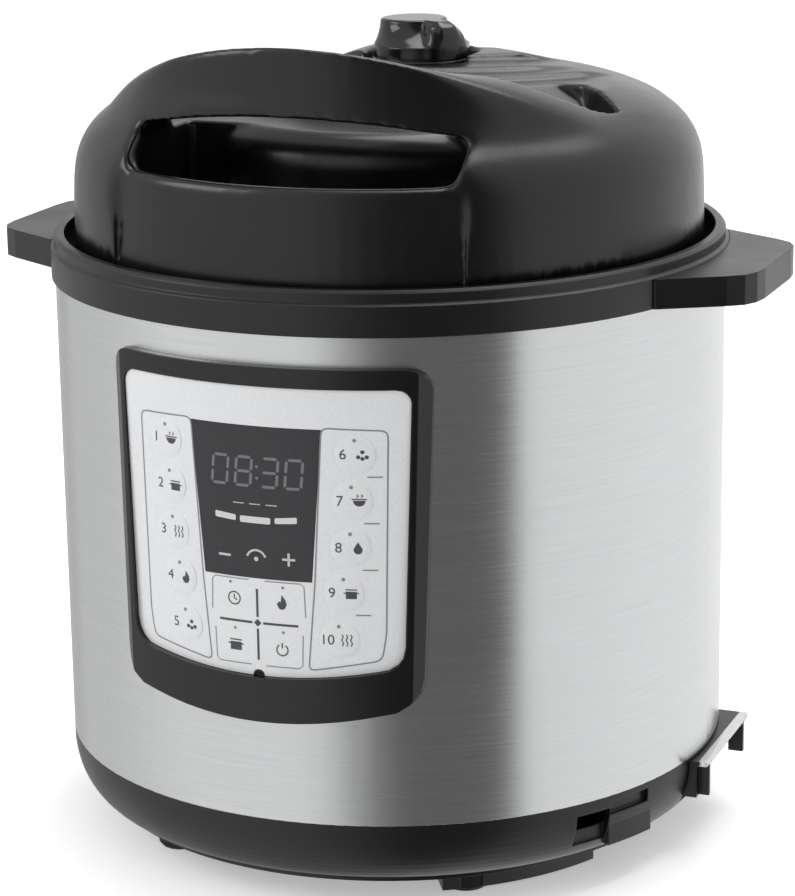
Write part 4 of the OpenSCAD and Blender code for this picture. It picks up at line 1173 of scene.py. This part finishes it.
@dataclass
class SensorSpring:
    """Coil spring under the sensor's cap.

    Attributes:
        wire_r: Radius of the wire, in millimetres.
        turns: Number of turns.
        travel: Way of the cap, in millimetres; not used.
    """

    wire_r: float
    turns: int = 4
    travel: float = 2.5

    def build(self) -> None:
        """Winds a ring of wire upwards, as tall as the solid spring, and closes its ends."""
        low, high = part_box("sensor_spring")
        wire = self.wire_r * MM
        spring = primitive(bpy.ops.mesh.primitive_circle_add, "sensor_spring_wound", vertices=12, radius=wire,
                           fill_type="NOTHING", location=(high.x - wire, 0, low.z + wire), rotation=(math.pi / 2, 0, 0))
        settle(spring)
        rise = high.z - low.z - 2 * wire
        apply_modifier(spring, "SCREW", axis="Z", angle=2 * math.pi, iterations=self.turns,
                       screw_offset=rise / self.turns, steps=36, render_steps=36, use_merge_vertices=False)
        with editing(spring, "VERT", everything=True):
            bpy.ops.mesh.remove_doubles(threshold=0.001 * MM)
            bpy.ops.mesh.fill_holes(sides=12)
            bpy.ops.mesh.select_all(action="SELECT")
            bpy.ops.mesh.normals_make_consistent(inside=False)
        dress(spring, Finishes.zinc.make(), "cooker", smooth=60)
        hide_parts("sensor_spring")
        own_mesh(spring)


@dataclass
class InletTrim:
    """Polished strip that caps the outer edge of the roof over the power inlet.

    Attributes:
        low: Lowest corner of the strip's box, in millimetres.
        high: Its highest corner.
    """

    low: Corner
    high: Corner

    def build(self) -> None:
        """A flat bar with rounded edges, laid over the roof's outer edge."""
        strip = box_between("inlet_trim", self.low, self.high)
        with editing(strip, "EDGE", everything=True):
            bpy.ops.mesh.bevel(offset=0.35 * MM, segments=3)
        dress(strip, Finishes.trim.make(), "cooker")


@dataclass
class PotMarks:
    """Etched level marks with plain numbers on the inside of the pot.

    Attributes:
        radius: Radius of the pot's inner wall, in millimetres.
        foot: Height of the pot's floor.
        levels: Height of each mark over the floor, by its number.
    """

    radius: float
    foot: float
    levels: dict[str, float] = field(default_factory=lambda: {"2": 34, "4": 62, "6": 90, "8": 118})

    def build(self) -> None:
        """Bends flat dashes and numbers onto the wall, each with the etching's own skin."""
        flat = PanelPrint(drum_r=0.0)

        def dash(left: float, right: float, low: float, high: float) -> Obj:
            """A flat bar between four limits, in millimetres."""
            return flat.plate([(left, low), (right, low), (right, high), (left, high)])

        plates = [dash(-1.2, 1.2, self.foot + 22, self.foot + 22.6)]
        for number, height in self.levels.items():
            z = self.foot + height
            plates += [dash(-14, 8, z - 0.35, z + 0.35), flat.glyph(number, (13, z), 7.0)]
            plates += [dash(-14, -6, z - step - 0.25, z - step + 0.25) for step in (7, 14, 21)]
        marks = join(plates, "pot_level_marks")
        for vertex in marks.data.vertices:
            turn = vertex.co.x / (self.radius * MM)
            reach = (self.radius - 0.06) * MM
            vertex.co = Vector((reach * math.sin(turn), reach * math.cos(turn), vertex.co.z))
        with editing(marks):
            pick_faces(marks, lambda centre, normal: normal.y > 0)
            bpy.ops.mesh.flip_normals()
        dress(marks, Finishes.etched.make(), "pot")


# --- studio


@dataclass
class Studio:
    """Pale floor, soft world light and lamps, and the camera.

    Attributes:
        camera_at: The camera's place.
        target: The point in the middle of its view.
        lens: Focal length for a 36 mm sensor, in millimetres.
        roll: Turn about the view's axis, in degrees.
        shift: Shift of the frame.
        floor_lift: Brightness that the floor gains to the camera alone.
        even: Strength of the even light on surfaces.
        reflections: Brightness of what metal mirrors, by direction round the cooker in degrees from the front.
    """

    camera_at: Corner = (0.4453, -1.1077, 0.4713)
    target: Corner = (0.0, 0.0, 0.15)
    lens: float = 121.5
    roll: float = 0.85
    shift: Point = (0.0051, -0.0022)
    floor_lift: float = 0.36
    even: float = 0.62
    reflections: list[tuple[float, float]] = field(default_factory=lambda: [
        (-180, 1.0), (-164, 1.0), (-148, 0.62), (-129, 0.48), (-119, 0.65), (-90, 0.7), (-71, 0.79), (-54, 0.85),
        (-20, 0.88), (-8, 0.86), (-1.5, 0.74), (7, 0.44), (16, 0.22), (25, 0.14), (58.5, 0.13), (62.5, 0.3),
        (66, 0.78), (70, 0.9), (123, 1.0), (180, 1.0)])

    def camera(self) -> None:
        """The one camera, at the viewing angle of the main view."""
        data = bpy.data.cameras.new("camera")
        camera = bpy.data.objects.new("camera", data)
        bpy.context.scene.collection.objects.link(camera)
        camera.location = self.camera_at
        look = (Vector(self.target) - Vector(self.camera_at)).to_track_quat("-Z", "Y")
        camera.rotation_mode = "QUATERNION"
        camera.rotation_quaternion = look @ Matrix.Rotation(math.radians(-self.roll), 3, "Z").to_quaternion()
        data.lens, data.sensor_width = self.lens, 36.0
        data.shift_x, data.shift_y = self.shift
        data.clip_start, data.clip_end = 0.05, 60.0
        bpy.context.scene.camera = camera

    def floor(self) -> None:
        """A white floor that keeps the shadow, as bright as the background to the camera."""
        floor = primitive(bpy.ops.mesh.primitive_plane_add, "floor", size=12.0)
        material = bpy.data.materials.new("studio_floor_white")
        material.use_nodes = True
        tree = material.node_tree
        tree.nodes.clear()
        path = add_node(tree, "LightPath")
        plain = add_node(tree, "BsdfDiffuse", {"Color": hex_colour("#d9d9d9")})
        bright = add_node(tree, "BsdfDiffuse", {"Color": hex_colour("#ffffff")})
        lift = add_node(tree, "Emission", {"Color": (1, 1, 1, 1), "Strength": self.floor_lift})
        seen = add_node(tree, "AddShader", {0: bright, 1: lift})
        mix = add_node(tree, "MixShader", {0: path.outputs["Is Camera Ray"], 1: plain, 2: seen})
        add_node(tree, "OutputMaterial", {"Surface": mix})
        floor.data.materials.append(material)
        floor.visible_glossy = False

    def world(self) -> None:
        """White to the camera, even light on surfaces, and a studio of pale and dark walls in reflections."""
        world = bpy.data.worlds.new("studio")
        bpy.context.scene.world = world
        world.use_nodes = True
        tree = world.node_tree
        tree.nodes.clear()
        path = add_node(tree, "LightPath")
        _, angle = around(tree, add_node(tree, "TexCoord").outputs["Generated"])
        wheel = add_node(tree, "ValToRGB", {"Fac": add_node(tree, "MapRange", {
            "Value": angle, "From Min": -math.pi, "From Max": math.pi})})
        stops = wheel.color_ramp.elements
        while len(stops) > 1:
            stops.remove(stops[-1])
        stops[0].position = 0.0
        for i, (degrees, level) in enumerate(self.reflections):
            stop = stops.new((degrees + 180) / 360) if i else stops[0]
            stop.color = (level,) * 3 + (1.0,)
        mirrored = add_node(tree, "Background", {"Color": wheel, "Strength": 1.0})
        even = add_node(tree, "Background", {"Color": (1, 1, 1, 1), "Strength": self.even})
        white = add_node(tree, "Background", {"Color": (1, 1, 1, 1), "Strength": 1.0})
        shiny = maths(tree, "MAXIMUM", path.outputs["Is Glossy Ray"], path.outputs["Is Transmission Ray"])
        lit = add_node(tree, "MixShader", {0: shiny, 1: even, 2: mirrored})
        seen = add_node(tree, "MixShader", {0: path.outputs["Is Camera Ray"], 1: lit, 2: white})
        add_node(tree, "OutputWorld", {"Surface": seen})

    def lamp(self, name: str, place: Corner, size: float, power: float) -> None:
        """One soft lamp that looks at the cooker.

        Args:
            name: The lamp's name.
            place: Where it hangs.
            size: Side of its square face.
            power: Power in watts.
        """
        data = bpy.data.lights.new(name, "AREA")
        data.energy, data.size, data.shape = power, size, "SQUARE"
        lamp = bpy.data.objects.new(name, data)
        bpy.context.scene.collection.objects.link(lamp)
        lamp.location = place
        lamp.rotation_mode = "QUATERNION"
        lamp.rotation_quaternion = (Vector((0, 0, 0.15)) - Vector(place)).to_track_quat("-Z", "Y")

    def build(self) -> None:
        """Makes the camera, floor, world and lamps."""
        self.camera()
        self.floor()
        self.world()
        self.lamp("top_softbox", (0.2, 0.5, 1.7), 1.2, 16)
        self.lamp("left_softbox", (-1.3, -0.9, 1.1), 0.9, 9)


def main() -> None:
    """Builds the cooker's looks round the frame."""
    logging.basicConfig(level=logging.INFO, format="%(name)s: %(message)s")
    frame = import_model()
    bpy.context.scene.view_settings.view_transform = "Standard"
    Studio().build()
    for name, node in frame["nodes"].items():
        node.data.materials.clear()
        node.data.materials.append(CAD_FINISH[name].make())
    low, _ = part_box("control_overlay")
    panel = PanelPrint(drum_r=-low.y)
    places = [(side * x, z) for side in (-1, 1) for x, z in zip(panel.key_x, panel.key_z)]
    panel.raised = KeyDomes(-low.y, places).build()
    panel.build()
    LidCover().build(frame["nodes"]["lid_cover"])
    ReleaseKnob().build()
    roof_low, roof_high = (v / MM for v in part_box("inlet_housing"))
    InletTrim((roof_high.x - 3.4, roof_low.y + 0.4, roof_high.z - 2.0),
              (roof_high.x + 0.1, roof_high.y - 0.4, roof_high.z + 0.3)).build()
    pot_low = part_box("cooking_pot")[0] / MM
    PotMarks(POT_INNER_R, pot_low.z + 2).build()
    SensorSpring(WIRE_R).build()


if __name__ == "__main__":
    main()
